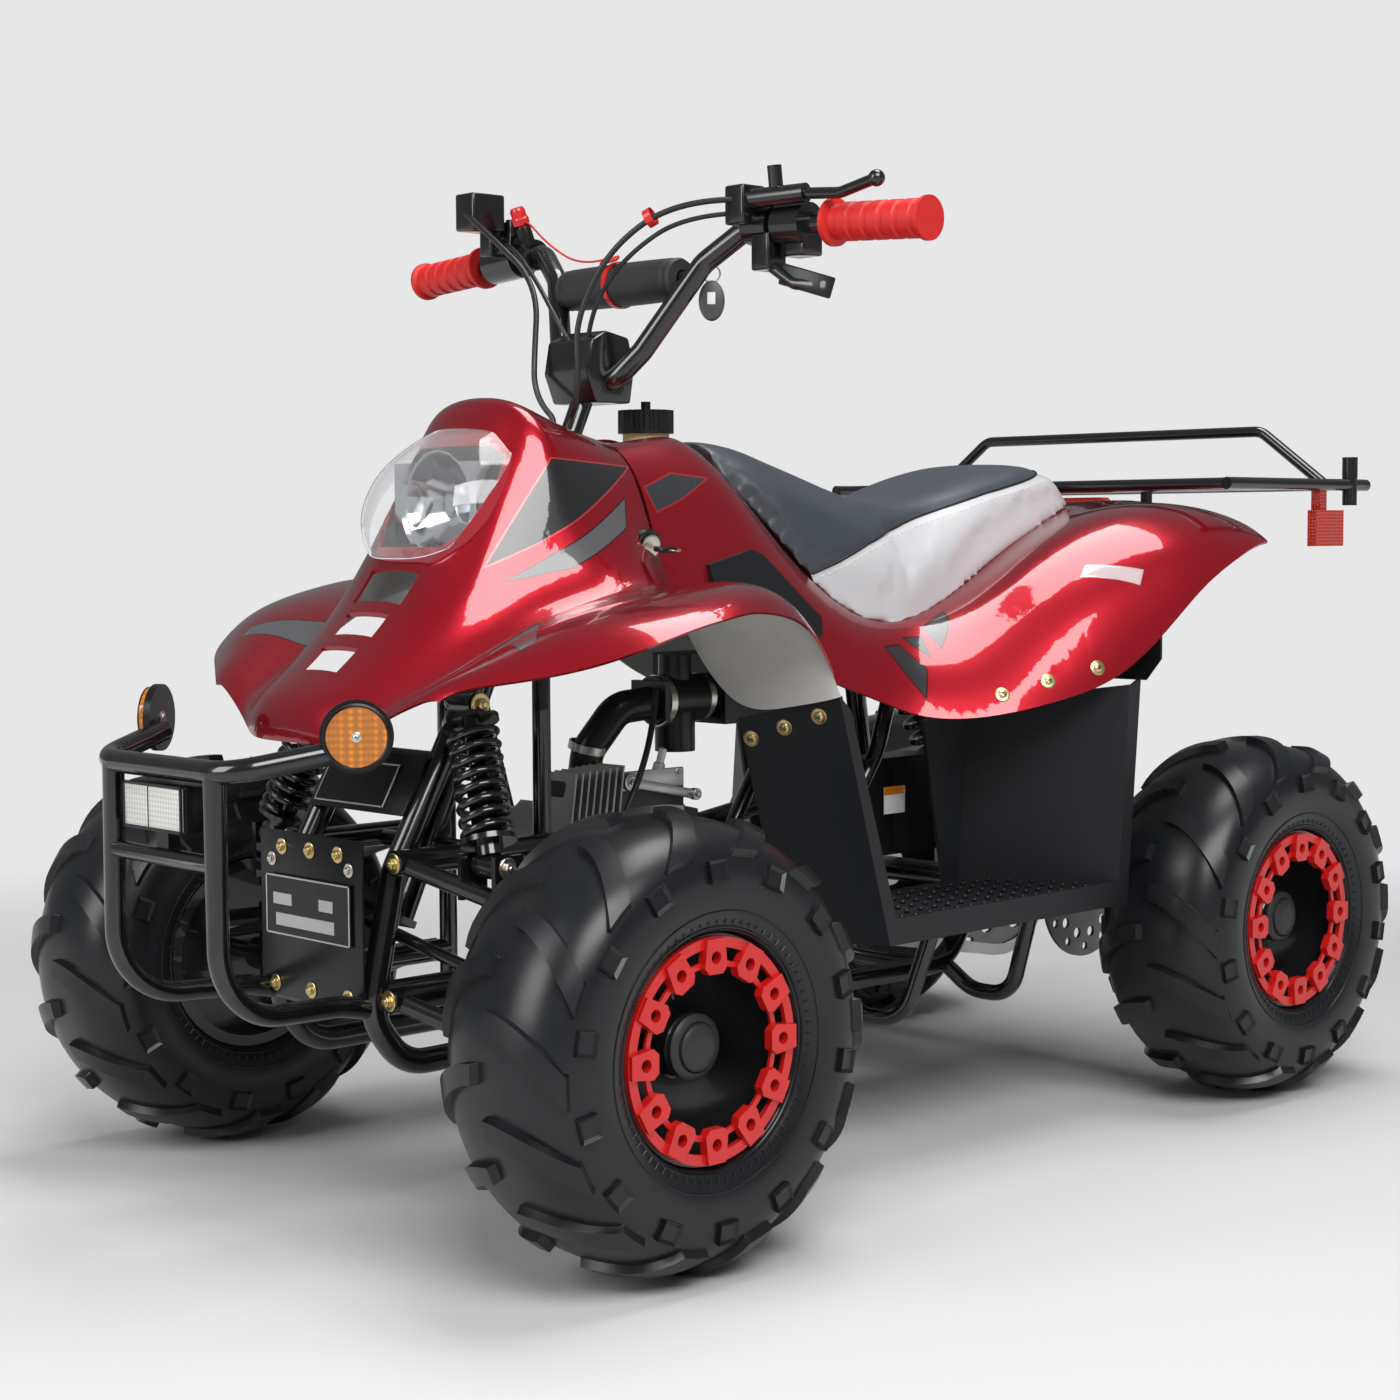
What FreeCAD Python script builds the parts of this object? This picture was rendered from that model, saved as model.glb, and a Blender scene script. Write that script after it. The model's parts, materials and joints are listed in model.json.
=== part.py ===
import FreeCAD, Part
import math
import os

import Sketcher

# Small quad bike. X forward, Y to the rider's left, Z up, millimetres.
# The origin is on the floor under the middle of the overall length.

os.makedirs("parts", exist_ok=True)
doc = FreeCAD.newDocument("QuadBike")
V = FreeCAD.Vector
Turn = FreeCAD.Rotation

# Driving sizes. Each alias is a word, each cell a plain number.
sheet = doc.addObject("Spreadsheet::Sheet", "Sizes")


class Size(float):
    """A length that also keeps its formula over the sheet."""

    def __new__(cls, number, text):
        made = super().__new__(cls, number)
        made.text = text
        return made

    def __add__(self, other):
        return Size(float(self) + float(other), "(%s + %s)" % (self.text, worded(other)))

    def __radd__(self, other):
        return Size(float(other) + float(self), "(%s + %s)" % (worded(other), self.text))

    def __sub__(self, other):
        return Size(float(self) - float(other), "(%s - %s)" % (self.text, worded(other)))

    def __rsub__(self, other):
        return Size(float(other) - float(self), "(%s - %s)" % (worded(other), self.text))

    def __mul__(self, other):
        return Size(float(self) * float(other), "(%s * %s)" % (self.text, worded(other)))

    def __rmul__(self, other):
        return Size(float(other) * float(self), "(%s * %s)" % (worded(other), self.text))

    def __truediv__(self, other):
        return Size(float(self) / float(other), "(%s / %s)" % (self.text, worded(other)))

    def __neg__(self):
        return Size(-float(self), "(0 - %s)" % self.text)


def worded(value):
    return value.text if isinstance(value, Size) else repr(float(value))


class Sizes:
    pass


S = Sizes()
listed = [
    ("frontAxleX", 457),
    ("rearAxleX", -493),
    ("axleHeight", 203),
    ("frontWheelY", 345),
    ("rearWheelY", 305),
    ("tyreRadius", 203),
    ("tyreHalfWidth", 81),
    ("treadRadius", 192),
    ("beadRadius", 92),
    ("tyreFacets", 28),
    ("treadLugs", 14),
    ("lugWidth", 34),
    ("rimRadius", 91.2),
    ("rimHalfWidth", 64),
    ("rimWall", 3),
    ("rimLip", 99),
    ("webDepth", 24),
    ("webWall", 6),
    ("hubRadius", 28),
    ("hubReach", 46),
    ("ringOuter", 97),
    ("ringInner", 66),
    ("ringDepth", 9),
    ("ringBlocks", 12),
    ("ringHole", 5.5),
    ("kingpinY", 245),
    ("kingpinRadius", 15),
    ("stubRadius", 9),
    ("stubLength", 128),
    ("pinClearance", 0.3),
    ("tieReach", 60),
    ("tieSide", 10),
    ("tieRadius", 6),
    ("steerLean", 25),
    ("steerX", 256),
    ("steerZ", 738),
    ("stemRadius", 11),
    ("stemRoom", 9),
    ("headTubeWall", 8),
    ("frameTube", 12),
    ("lightTube", 9),
    ("braceTube", 8.5),
    ("crossTube", 8),
    ("railY", 75),
    ("railZ", 150),
    ("bumperTube", 10.5),
    ("bumperX", 732.5),
    ("bumperZ", 436),
    ("rackTube", 7),
    ("rackZ", 692),
    ("rackHalfWidth", 300),
    ("pegRadius", 9),
    ("pegHeight", 25),
    ("armTube", 9),
    ("armBall", 14),
    ("pivotY", 96),
    ("upperPivotZ", 341),
    ("lowerPivotZ", 216),
    ("barTube", 11),
    ("barHalfWidth", 382),
    ("gripRadius", 17),
    ("gripFlange", 23),
    ("gripLength", 118),
    ("gripRibs", 5),
    ("padRadius", 22),
    ("padLength", 176),
    ("cableRadius", 3),
    ("skinThickness", 3),
    ("seatGap", 0.4),
    ("panelThickness", 6),
    ("footwellWall", 4),
    ("shaftRadius", 14),
    ("damperBody", 13),
    ("springWire", 4),
    ("springRadius", 21),
    ("springTurns", 8),
    ("cupRadius", 26),
    ("capRadius", 29),
    ("capHeight", 24),
    ("capRibs", 18),
    ("discRadius", 78),
    ("discHoles", 12),
    ("discY", 72),
    ("sprocketRadius", 88),
    ("sprocketTeeth", 36),
    ("sprocketY", -60),
    ("driveRadius", 24),
    ("driveX", 26),
    ("driveZ", 236),
    ("chainPlate", 1.6),
    ("chainDepth", 7),
    ("caseHalfWidth", 52),
    ("coverRadius", 60),
    ("barrelTilt", 14),
    ("finCount", 8),
    ("finPitch", 9.5),
    ("finThickness", 3.4),
    ("finWidth", 94),
    ("mufflerRadius", 42),
    ("mufflerLength", 190),
    ("pipeRadius", 12),
]
for row, (alias, number) in enumerate(listed):
    sheet.set("A%d" % (row + 1), alias)
    sheet.set("B%d" % (row + 1), str(number))
    sheet.setAlias("B%d" % (row + 1), alias)
    setattr(S, alias, Size(number, "Sizes." + alias))
doc.recompute()

parts = []


def finished(item):
    """List a sub-part that gets a file of its own."""
    item.Label = item.Name
    parts.append(item)
    return item


def bind(item, word, value):
    """Give one property its number, and its formula where it has one."""
    if isinstance(value, Size):
        item.setExpression(word, value.text)
    elif "." not in word:
        setattr(item, word, value)


def located(item, place, turn=None):
    item.Placement = FreeCAD.Placement(V(*[float(v) for v in place]), turn or Turn())
    for word, value in zip("xyz", place):
        bind(item, "Placement.Base." + word, value)
    return item


def box(name, x0, x1, y0, y1, z0, z1):
    item = doc.addObject("Part::Box", name)
    bind(item, "Length", x1 - x0)
    bind(item, "Width", y1 - y0)
    bind(item, "Height", z1 - z0)
    return located(item, (x0, y0, z0))


def turnedTo(direction):
    return Turn(V(0, 0, 1), V(*[float(v) for v in direction]))


def cylinder(name, place, radius, height, direction=(0, 0, 1)):
    item = doc.addObject("Part::Cylinder", name)
    bind(item, "Radius", radius)
    bind(item, "Height", height)
    return located(item, place, turnedTo(direction))


def bar(name, start, end, radius):
    """Round bar between two points."""
    run = V(*[float(v) for v in end]) - V(*[float(v) for v in start])
    return cylinder(name, start, radius, run.Length, run)


def ball(name, place, radius):
    item = doc.addObject("Part::Sphere", name)
    bind(item, "Radius", radius)
    return located(item, place)


def fused(name, *items):
    item = doc.addObject("Part::MultiFuse", name)
    item.Shapes = list(items)
    item.Refine = True
    return item


def gathered(name, *items):
    item = doc.addObject("Part::Compound", name)
    item.Links = list(items)
    return item


def cut(name, base, *tools):
    item = doc.addObject("Part::Cut", name)
    item.Base = base
    item.Tool = tools[0] if len(tools) == 1 else gathered(name + "Tools", *tools)
    return item


def mirrored(name, source):
    """The same piece on the other side of the middle plane."""
    item = doc.addObject("Part::Mirroring", name)
    item.Source = source
    item.Base = V(0, 0, 0)
    item.Normal = V(0, 1, 0)
    return item


def bothSides(name, left):
    return gathered(name, left, mirrored(name + "Right", left))


def held(name, shape):
    """A sub-part whose shape is made by the functions below."""
    item = doc.addObject("Part::Feature", name)
    if not shape.Placement.isIdentity():
        shape = Part.makeCompound([shape])
    item.Shape = shape
    item.Placement = FreeCAD.Placement()
    return item


def biggest(shape):
    return max(shape.Solids, key=lambda one: one.Volume)


# Sketched bodies


def originPlane(body, role):
    return [one for one in body.Origin.OriginFeatures if one.Role == role][0]


def sketchOn(body, name, role, lift=0):
    sketch = body.newObject("Sketcher::SketchObject", name)
    sketch.AttachmentSupport = [(originPlane(body, role), "")]
    sketch.MapMode = "FlatFace"
    if isinstance(lift, Size):
        sketch.setExpression("AttachmentOffset.Base.z", lift.text)
    else:
        sketch.AttachmentOffset = FreeCAD.Placement(V(0, 0, lift), Turn())
    return sketch


def fix(sketch, kind, index, point, value):
    """Hold one coordinate of a sketch point."""
    row = sketch.addConstraint(Sketcher.Constraint(kind, -1, 1, index, point, float(value)))
    if isinstance(value, Size):
        sketch.setExpression("Constraints[%d]" % row, value.text)


def polygonIn(sketch, points):
    first = sketch.GeometryCount
    flat = [V(float(a), float(b), 0) for a, b in points]
    total = len(points)
    for i in range(total):
        sketch.addGeometry(Part.LineSegment(flat[i], flat[(i + 1) % total]), False)
    for i in range(total):
        after = first + (i + 1) % total
        sketch.addConstraint(Sketcher.Constraint("Coincident", first + i, 2, after, 1))
    for i, (a, b) in enumerate(points):
        fix(sketch, "DistanceX", first + i, 1, a)
        fix(sketch, "DistanceY", first + i, 1, b)
    return sketch


def circleIn(sketch, a, b, radius):
    index = sketch.addGeometry(Part.Circle(V(float(a), float(b), 0), V(0, 0, 1), float(radius)), False)
    row = sketch.addConstraint(Sketcher.Constraint("Radius", index, float(radius)))
    if isinstance(radius, Size):
        sketch.setExpression("Constraints[%d]" % row, radius.text)
    fix(sketch, "DistanceX", index, 3, a)
    fix(sketch, "DistanceY", index, 3, b)
    return sketch


def feature(body, kind, name, sketch, **settings):
    item = body.newObject("PartDesign::" + kind, name)
    item.Profile = sketch
    for word, value in settings.items():
        bind(item, word, value)
    return item


def revolved(body, name, role, axis, points):
    """Turned solid from a closed profile."""
    sketch = polygonIn(sketchOn(body, name + "Profile", role), points)
    item = body.newObject("PartDesign::Revolution", name)
    item.Profile = sketch
    item.ReferenceAxis = (sketch, [axis])
    item.Angle = 360
    return item


def around(body, name, original, sketch, count):
    """Copies of one feature round the normal of its sketch."""
    doc.recompute()
    item = body.newObject("PartDesign::PolarPattern", name)
    item.Originals = [original]
    item.Axis = (sketch, ["N_Axis"])
    item.Angle = 360
    bind(item, "Occurrences", count)
    body.Tip = item
    return item


# Curved shapes


def mirrorY(shape):
    return shape.mirror(V(0, 0, 0), V(0, 1, 0))


def sewn(faces):
    shell = Part.makeShell(faces)
    shell.sewShape()
    solid = Part.makeSolid(shell)
    if solid.Volume < 0:
        solid.reverse()
    return solid


def tube(points, radius, corner=0):
    """Round bar along a polyline, its corners bent to the given radius."""
    pts = [V(*p) for p in points]
    ring = Part.makeCircle(radius, pts[0], pts[1] - pts[0])
    faces = [Part.Face(Part.Wire([ring]))]
    start = pts[0]
    for i in range(1, len(pts) - 1):
        before = pts[i - 1] - pts[i]
        after = pts[i + 1] - pts[i]
        longest = 0.48 * min(before.Length, after.Length)
        before.normalize()
        after.normalize()
        half = before.getAngle(after) / 2
        reach = min(corner / math.tan(half), longest)
        bend = reach * math.tan(half)
        middle = before + after
        middle.normalize()
        centre = pts[i] + middle * math.hypot(reach, bend)
        run = pts[i] + before * reach - start
        faces.append(ring.extrude(run))
        ring = ring.translated(run)
        axis = after.cross(before)
        turn = 180 - math.degrees(2 * half)
        faces.append(ring.revolve(centre, axis, turn))
        ring = ring.copy()
        ring.rotate(centre, axis, turn)
        start = pts[i] + after * reach
    run = pts[-1] - start
    faces.append(ring.extrude(run))
    ring = ring.translated(run)
    faces.append(Part.Face(Part.Wire([ring])))
    return sewn(faces)


def bent(name, points, radius, corner):
    return held(name, tube(points, radius, corner))


def plate(points, push):
    """Flat polygon pushed along a vector."""
    pts = [V(*p) for p in points]
    return Part.Face(Part.makePolygon(pts + [pts[0]])).extrude(V(*push))


def surface(rows):
    """Smooth surface over a net of poles."""

    def knots(count):
        inner = count - 3
        return [float(i) for i in range(inner + 1)], [4] + [1] * (inner - 1) + [4]

    spans, repeats = knots(len(rows))
    acrossSpans, acrossRepeats = knots(len(rows[0]))
    made = Part.BSplineSurface()
    made.buildFromPolesMultsKnots(rows, repeats, acrossRepeats, spans, acrossSpans, False, False, 3, 3)
    return made


def offsetRows(rows, thickness):
    """Move a net of points, whose rows run from front to back, outwards."""
    last = len(rows) - 1
    side = len(rows[0]) - 1
    moved = []
    for i, line in enumerate(rows):
        shifted = []
        for j, point in enumerate(line):
            along = rows[min(i + 1, last)][j] - rows[max(i - 1, 0)][j]
            across = line[min(j + 1, side)] - line[max(j - 1, 0)]
            normal = along.cross(across)
            normal.normalize()
            shifted.append(point - normal * thickness)
        moved.append(shifted)
    return moved


def closedSolid(outerRows, innerRows):
    outer = surface(outerRows)
    inner = surface(innerRows)
    faces = [outer.toShape(), inner.toShape()]
    u0, u1, v0, v1 = outer.bounds()
    for make, at in (("uIso", u0), ("uIso", u1), ("vIso", v0), ("vIso", v1)):
        a = getattr(outer, make)(at).toShape()
        b = getattr(inner, make)(at).toShape()
        faces.append(Part.makeRuledSurface(a, b))
    return sewn(faces)


def mirroredRows(halfRows):
    """Full-width rows from half rows whose first point is on the middle line."""
    rows = []
    for half in halfRows:
        left = [V(*p) for p in half]
        right = [V(p.x, -p.y, p.z) for p in reversed(left[1:])]
        rows.append(right + left)
    return rows


def skin(halfRows, thickness):
    rows = mirroredRows(halfRows)
    return closedSolid(rows, offsetRows(rows, thickness))

# Steering axis, leaning back, and the room that the stem turns in

lean = math.radians(S.steerLean)
steerAxis = V(-math.sin(lean), 0, math.cos(lean))
stemForward = V(math.cos(lean), 0, math.sin(lean))


def steerPoint(z):
    """Point of the steering axis at a height."""
    drop = (S.steerZ - z) * math.tan(lean)
    return (float(S.steerX + drop), 0, float(z))


roomRadius = S.stemRadius + S.stemRoom
stemRoom = cylinder("stemRoom", steerPoint(650), roomRadius, 170, steerAxis)

# Front body: nose, scuttle and both front fenders, tip first, middle line outwards

frontRows = [
    [(600, 0, 450), (600, 42, 450), (594, 66, 452), (586, 86, 460), (578, 108, 468),
     (572, 132, 480), (566, 152, 488), (562, 168, 494), (560, 178, 492)],
    [(604, 0, 482), (603, 44, 480), (592, 72, 480), (580, 94, 478), (572, 116, 478),
     (566, 138, 490), (560, 158, 500), (556, 176, 506), (555, 188, 500)],
    [(573, 0, 505), (571, 46, 503), (560, 78, 500), (548, 100, 492), (545, 122, 488),
     (545, 146, 500), (542, 172, 512), (540, 194, 515), (541, 210, 505)],
    [(530, 0, 540), (528, 50, 538), (518, 84, 533), (510, 104, 515), (510, 128, 503),
     (512, 158, 518), (512, 196, 532), (512, 232, 530), (514, 256, 512)],
    [(492, 0, 580), (490, 54, 577), (480, 90, 568), (474, 110, 540), (474, 136, 520),
     (476, 172, 540), (476, 222, 556), (478, 270, 548), (480, 300, 524)],
    [(458, 0, 630), (455, 58, 626), (445, 96, 610), (438, 116, 568), (436, 144, 540),
     (438, 184, 556), (438, 242, 571), (440, 298, 561), (442, 325, 540)],
    [(424, 0, 694), (421, 60, 688), (409, 94, 664), (399, 117, 598), (395, 150, 556),
     (394, 192, 568), (394, 252, 579), (396, 312, 573), (397, 333, 555)],
    [(394, 0, 748), (391, 61, 742), (381, 95, 706), (372, 118, 624), (364, 154, 566),
     (362, 198, 576), (360, 260, 585), (360, 318, 580), (361, 336, 562)],
    [(380, 0, 775), (377, 62, 768), (367, 95, 732), (356, 118, 642), (346, 156, 572),
     (344, 200, 579), (342, 262, 588), (341, 320, 584), (341, 336, 566)],
    [(362, 0, 769), (359, 62, 761), (351, 94, 726), (342, 117, 648), (332, 157, 578),
     (328, 201, 582), (325, 263, 591), (322, 319, 587), (321, 334, 567)],
    [(335, 0, 759), (332, 62, 750), (326, 93, 719), (319, 115, 650), (308, 158, 582),
     (303, 202, 585), (298, 263, 595), (293, 317, 588), (290, 331, 564)],
    [(300, 0, 749), (298, 62, 738), (296, 92, 710), (294, 114, 647), (286, 158, 584),
     (278, 200, 588), (270, 262, 596), (262, 312, 584), (254, 322, 556)],
    [(272, 0, 742), (271, 60, 731), (271, 90, 702), (271, 112, 641), (266, 156, 572),
     (254, 198, 572), (242, 258, 580), (232, 306, 560), (222, 314, 536)],
    [(260, 0, 739), (260, 60, 728), (260, 90, 698), (260, 112, 637), (254, 156, 556),
     (234, 196, 522), (222, 254, 532), (208, 302, 524), (198, 306, 510)],
    [(252, 0, 737), (252, 60, 726), (252, 90, 696), (252, 112, 633), (246, 156, 540),
     (216, 195, 463), (203, 252, 472), (189, 300, 481), (180, 302, 484)],
]
frontShell = held("frontShell", skin(frontRows, S.skinThickness))
lampOutline = [(-46, 627), (46, 627), (64, 641), (75, 684), (72, 712), (54, 723),
               (-54, 723), (-72, 712), (-75, 684), (-64, 641)]
lampOpening = held("lampOpening", plate([(383, y, z) for y, z in lampOutline], (130, 0, 0)))
ventHigh = box("ventHigh", 474, 499, -38, 38, 480, 640)
ventMiddle = box("ventMiddle", 508, 528, -32, 32, 480, 620)
ventLow = box("ventLow", 540, 565, -28, 28, 480, 600)
frontBody = cut("front_body", frontShell, ventHigh, ventMiddle, ventLow, lampOpening, stemRoom)
finished(frontBody)

# Rear body: tank sides, deck under the seat, waist and both rear fenders

rearRows = [
    [(247, 0, 727), (247, 40, 727), (247, 64, 720), (247, 90, 692), (247, 106, 655), (247, 116, 620),
     (247, 122, 595), (247, 127, 575), (247, 131, 556)],
    [(200, 0, 735), (200, 40, 733), (200, 64, 725), (200, 92, 697), (200, 108, 660), (200, 118, 622),
     (200, 126, 596), (200, 131, 574), (200, 135, 552)],
    [(150, 0, 752), (150, 38, 748), (150, 62, 736), (150, 90, 704), (150, 108, 664), (150, 120, 624),
     (150, 128, 596), (150, 134, 568), (150, 138, 540)],
    [(100, 0, 700), (100, 40, 698), (100, 70, 688), (100, 94, 668), (100, 110, 640), (100, 122, 610),
     (100, 131, 580), (100, 137, 550), (100, 141, 522)],
    [(40, 0, 636), (40, 40, 635), (40, 72, 628), (40, 98, 608), (40, 114, 586), (40, 127, 566),
     (40, 137, 542), (40, 143, 514), (40, 148, 484)],
    [(-20, 0, 580), (-20, 44, 580), (-20, 84, 574), (-20, 108, 560), (-20, 124, 544), (-20, 136, 528),
     (-20, 147, 508), (-20, 154, 488), (-20, 160, 466)],
    [(-80, 0, 550), (-80, 46, 550), (-80, 88, 547), (-80, 112, 540), (-80, 130, 528), (-78, 146, 512),
     (-74, 162, 492), (-68, 178, 468), (-62, 192, 440)],
    [(-135, 0, 548), (-135, 48, 548), (-135, 92, 547), (-135, 118, 544), (-134, 140, 538), (-132, 164, 526),
     (-128, 192, 504), (-122, 220, 474), (-118, 240, 442)],
    [(-190, 0, 566), (-190, 50, 566), (-190, 96, 566), (-190, 124, 564), (-190, 154, 564), (-190, 188, 560),
     (-190, 224, 534), (-190, 256, 494), (-188, 272, 458)],
    [(-250, 0, 592), (-250, 50, 592), (-250, 98, 593), (-250, 128, 596), (-250, 162, 606), (-250, 202, 608),
     (-250, 244, 580), (-252, 282, 530), (-254, 296, 476)],
    [(-310, 0, 620), (-310, 50, 620), (-310, 100, 622), (-310, 134, 630), (-310, 172, 640), (-310, 214, 642),
     (-312, 260, 616), (-316, 298, 572), (-318, 312, 524)],
    [(-370, 0, 646), (-370, 50, 646), (-370, 102, 648), (-370, 140, 654), (-370, 182, 662), (-370, 226, 662),
     (-372, 272, 648), (-376, 310, 614), (-378, 322, 580)],
    [(-430, 0, 664), (-430, 50, 664), (-430, 102, 666), (-430, 142, 668), (-430, 186, 670), (-430, 232, 668),
     (-432, 276, 658), (-434, 314, 632), (-436, 328, 608)],
    [(-490, 0, 672), (-490, 50, 672), (-490, 100, 674), (-488, 142, 670), (-486, 186, 670), (-482, 232, 666),
     (-478, 276, 658), (-474, 312, 638), (-472, 328, 622)],
    [(-545, 0, 672), (-545, 50, 672), (-542, 100, 674), (-536, 142, 668), (-528, 186, 664), (-518, 232, 658),
     (-508, 276, 650), (-498, 312, 634), (-492, 328, 624)],
]
rearShell = held("rearShell", skin(rearRows, S.skinThickness))
tankOpening = box("tankOpening", 132, 262, -44, 44, 690, 790)
rearBody = finished(cut("rear_body", rearShell, tankOpening))

# Tubular frame: two bent side frames with their braces, steps and shock lugs

railY = float(S.railY)
railZ = float(S.railZ)
mainLoop = [(300, 55, 640), (400, 62, 560), (482, railY, 429), (538, railY, 330), (566, railY, 200),
            (530, railY, railZ), (-235, railY, railZ), (-285, railY + 5, 230), (-255, railY + 10, 470),
            (-240, railY + 13, 552)]
topRail = [(300, 55, 640), (150, 62, 636), (40, railY + 5, 545), (-120, railY + 11, 520),
           (-300, railY + 13, 585), (-600, railY + 13, 640)]
frontPost = [(360, railY, railZ), (360, railY, 470), (352, 66, 598)]
backPost = [(60, railY, railZ), (-110, railY + 9, 400), (-150, railY + 11, 524)]
frontStep = [(-45, railY, railZ), (-52, 112, 120), (-62, 165, 120), (-82, 202, 250)]
rearStep = [(-232, railY, railZ), (-238, 112, 122), (-243, 165, 122), (-242, 202, 250)]
shockPin = [(448, 68, 484), (480, 88, 484), (480, 131, 484)]
sideTubes = [
    bent("mainLoop", mainLoop, S.frameTube, 50),
    bent("topRail", topRail, S.frameTube, 60),
    bent("frontPost", frontPost, S.lightTube, 40),
    bent("backPost", backPost, S.lightTube, 60),
    bent("frontStep", frontStep, S.lightTube, 45),
    bent("rearStep", rearStep, S.lightTube, 45),
    bent("shockPin", shockPin, 7, 10),
    bar("upperBrace", (536, S.railY, S.upperPivotZ), (360, S.railY, S.upperPivotZ), S.braceTube),
    bar("lowerBrace", (562, S.railY, 222), (360, S.railY, 222), S.braceTube),
]
leftSide = fused("leftSide", *sideTubes)
frameSides = finished(bothSides("frame_sides", leftSide))

# Cross bars and the tube that the steering stem turns in, seated on the side frames


def crossBar(name, x, z, half, radius):
    return bar(name, (x, -half, z), (x, half, z), radius)


headLow = steerPoint(606)
headTube = cylinder("headTube", headLow, S.stemRadius + S.headTubeWall, 62, steerAxis)
headBar = crossBar("headBar", 302, 640, 55, S.crossTube)
lowBush = cylinder("lowBush", steerPoint(322), S.stemRadius + 6, 40, steerAxis)
bushBar = crossBar("bushBar", 440, S.upperPivotZ, railY, S.crossTube)
stemBore = cylinder("stemBore", steerPoint(250), S.stemRadius + S.pinClearance, 700, steerAxis)
frameBars = [
    cut("headGroup", fused("headJoined", headTube, headBar), frameSides, stemBore),
    cut("bushGroup", fused("bushJoined", lowBush, bushBar), frameSides, stemBore),
]
barList = [
    ("noseBar", 482, 429, S.railY, S.crossTube),
    ("towBar", 566, 205, S.railY, S.crossTube),
    ("floorBar", 84, S.railZ, S.railY, S.crossTube),
    ("stepBar", -200, S.railZ, S.railY, S.crossTube),
    ("pivotBar", -282, 235, railY + 5, S.crossTube),
    ("shockBar", -255, 470, railY + 11, S.lightTube),
    ("seatBar", -596, 640, railY + 13, S.crossTube),
]
for name, x, z, half, radius in barList:
    frameBars.append(cut(name + "Seated", crossBar(name, x, z, half, radius), frameSides))
frameCross = finished(gathered("frame_crossbars", *frameBars))
doc.recompute()
wholeFrame = Part.makeCompound(frameSides.Shape.Solids + frameCross.Shape.Solids)
frameTool = held("frameTool", wholeFrame)

# Front bumper: one bent top bar, two uprights and a strap for the lamp

bx = float(S.bumperX)
bz = float(S.bumperZ)
topBar = bent("topBar", [(640, -152, bz + 18), (bx, -104, bz), (bx, 104, bz), (640, 152, bz + 18)], S.bumperTube, 45)
upright = bent("upright", [(bx, 84, bz), (bx, 86, 219), (600, 76, 214), (572, railY, 208)], S.bumperTube - 0.5, 70)
strap = bar("strap", (bx, -86, 356), (bx, 86, 356), 8)
bumperJoined = fused("bumperJoined", topBar, strap, upright, mirrored("uprightRight", upright))
bumper = finished(cut("front_bumper", bumperJoined, frameTool))

lampCase = box("lampCase", 706, 738, -48, 48, 388, 420)
lampGlass = box("lampGlass", 738, 743, -45, 45, 391, 417)
lampFoot = box("lampFoot", 722, 734, -10, 10, 364, 388)
lampJoined = fused("lampJoined", lampCase, lampGlass, lampFoot)
finished(cut("bumper_lamp", lampJoined, bumper))
numberPlate = box("front_plate", 579, 581, -70, 70, 262, 322)
finished(numberPlate)

reflectorRim = cylinder("reflectorRim", (636, 158, 466), 32, 7, (0.6, 0.8, 0))
reflectorGlass = cylinder("reflectorGlass", (636 + 7 * 0.6, 158 + 7 * 0.8, 466), 29, 5, (0.6, 0.8, 0))
reflectorLeft = cut("reflectorLeft", fused("reflectorJoined", reflectorRim, reflectorGlass), bumper)
finished(bothSides("front_reflectors", reflectorLeft))

# Head lamp: clear lens seated on the nose, and the bowl with its three reflectors behind it

lensRows = [
    [(477, 0, 617), (476, 30, 617), (471, 48, 620), (459, 62, 627)],
    [(493, 0, 645), (491, 34, 645), (479, 62, 645), (451, 79, 646)],
    [(479, 0, 686), (477, 38, 686), (463, 68, 684), (427, 87, 682)],
    [(447, 0, 718), (445, 38, 717), (434, 64, 713), (399, 83, 706)],
    [(405, 0, 739), (403, 34, 738), (395, 54, 734), (383, 65, 727)],
]
noseUp = offsetRows(mirroredRows(frontRows), S.skinThickness + S.seatGap)
frontFill = closedSolid(offsetRows(mirroredRows(frontRows), -30), noseUp)
lens = held("headlamp_lens", biggest(skin(lensRows, 2.5).cut(frontFill)))
finished(lens)
bowlBlock = box("bowlBlock", 362, 428, -64, 64, 630, 708)
bowlHollow = doc.addObject("Part::Cone", "bowlHollow")
bowlHollow.Radius1 = 18
bowlHollow.Radius2 = 56
bowlHollow.Height = 52
located(bowlHollow, (378, 0, 668), turnedTo((1, 0, 0)))
bulb = cylinder("bulb", (376, 0, 668), 9, 34, (1, 0, 0))
bowlOpen = fused("bowlOpen", cut("bowlCut", bowlBlock, bowlHollow), bulb)
doc.recompute()
bowlShape = bowlOpen.Shape.cut([frontBody.Shape, lens.Shape, wholeFrame])
finished(held("headlamp_housing", biggest(bowlShape)))

# Fuel tank under its opening, with the neck and the ribbed cap

tankBlock = box("tankBlock", 137, 247, -41, 41, 652, 729)
tankNeck = cylinder("tankNeck", (153, 0, 728), S.capRadius - 5, 13.7)
tankJoined = fused("tankJoined", tankBlock, tankNeck)
finished(cut("fuel_tank", tankJoined, frameTool, rearBody, stemRoom))

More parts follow.
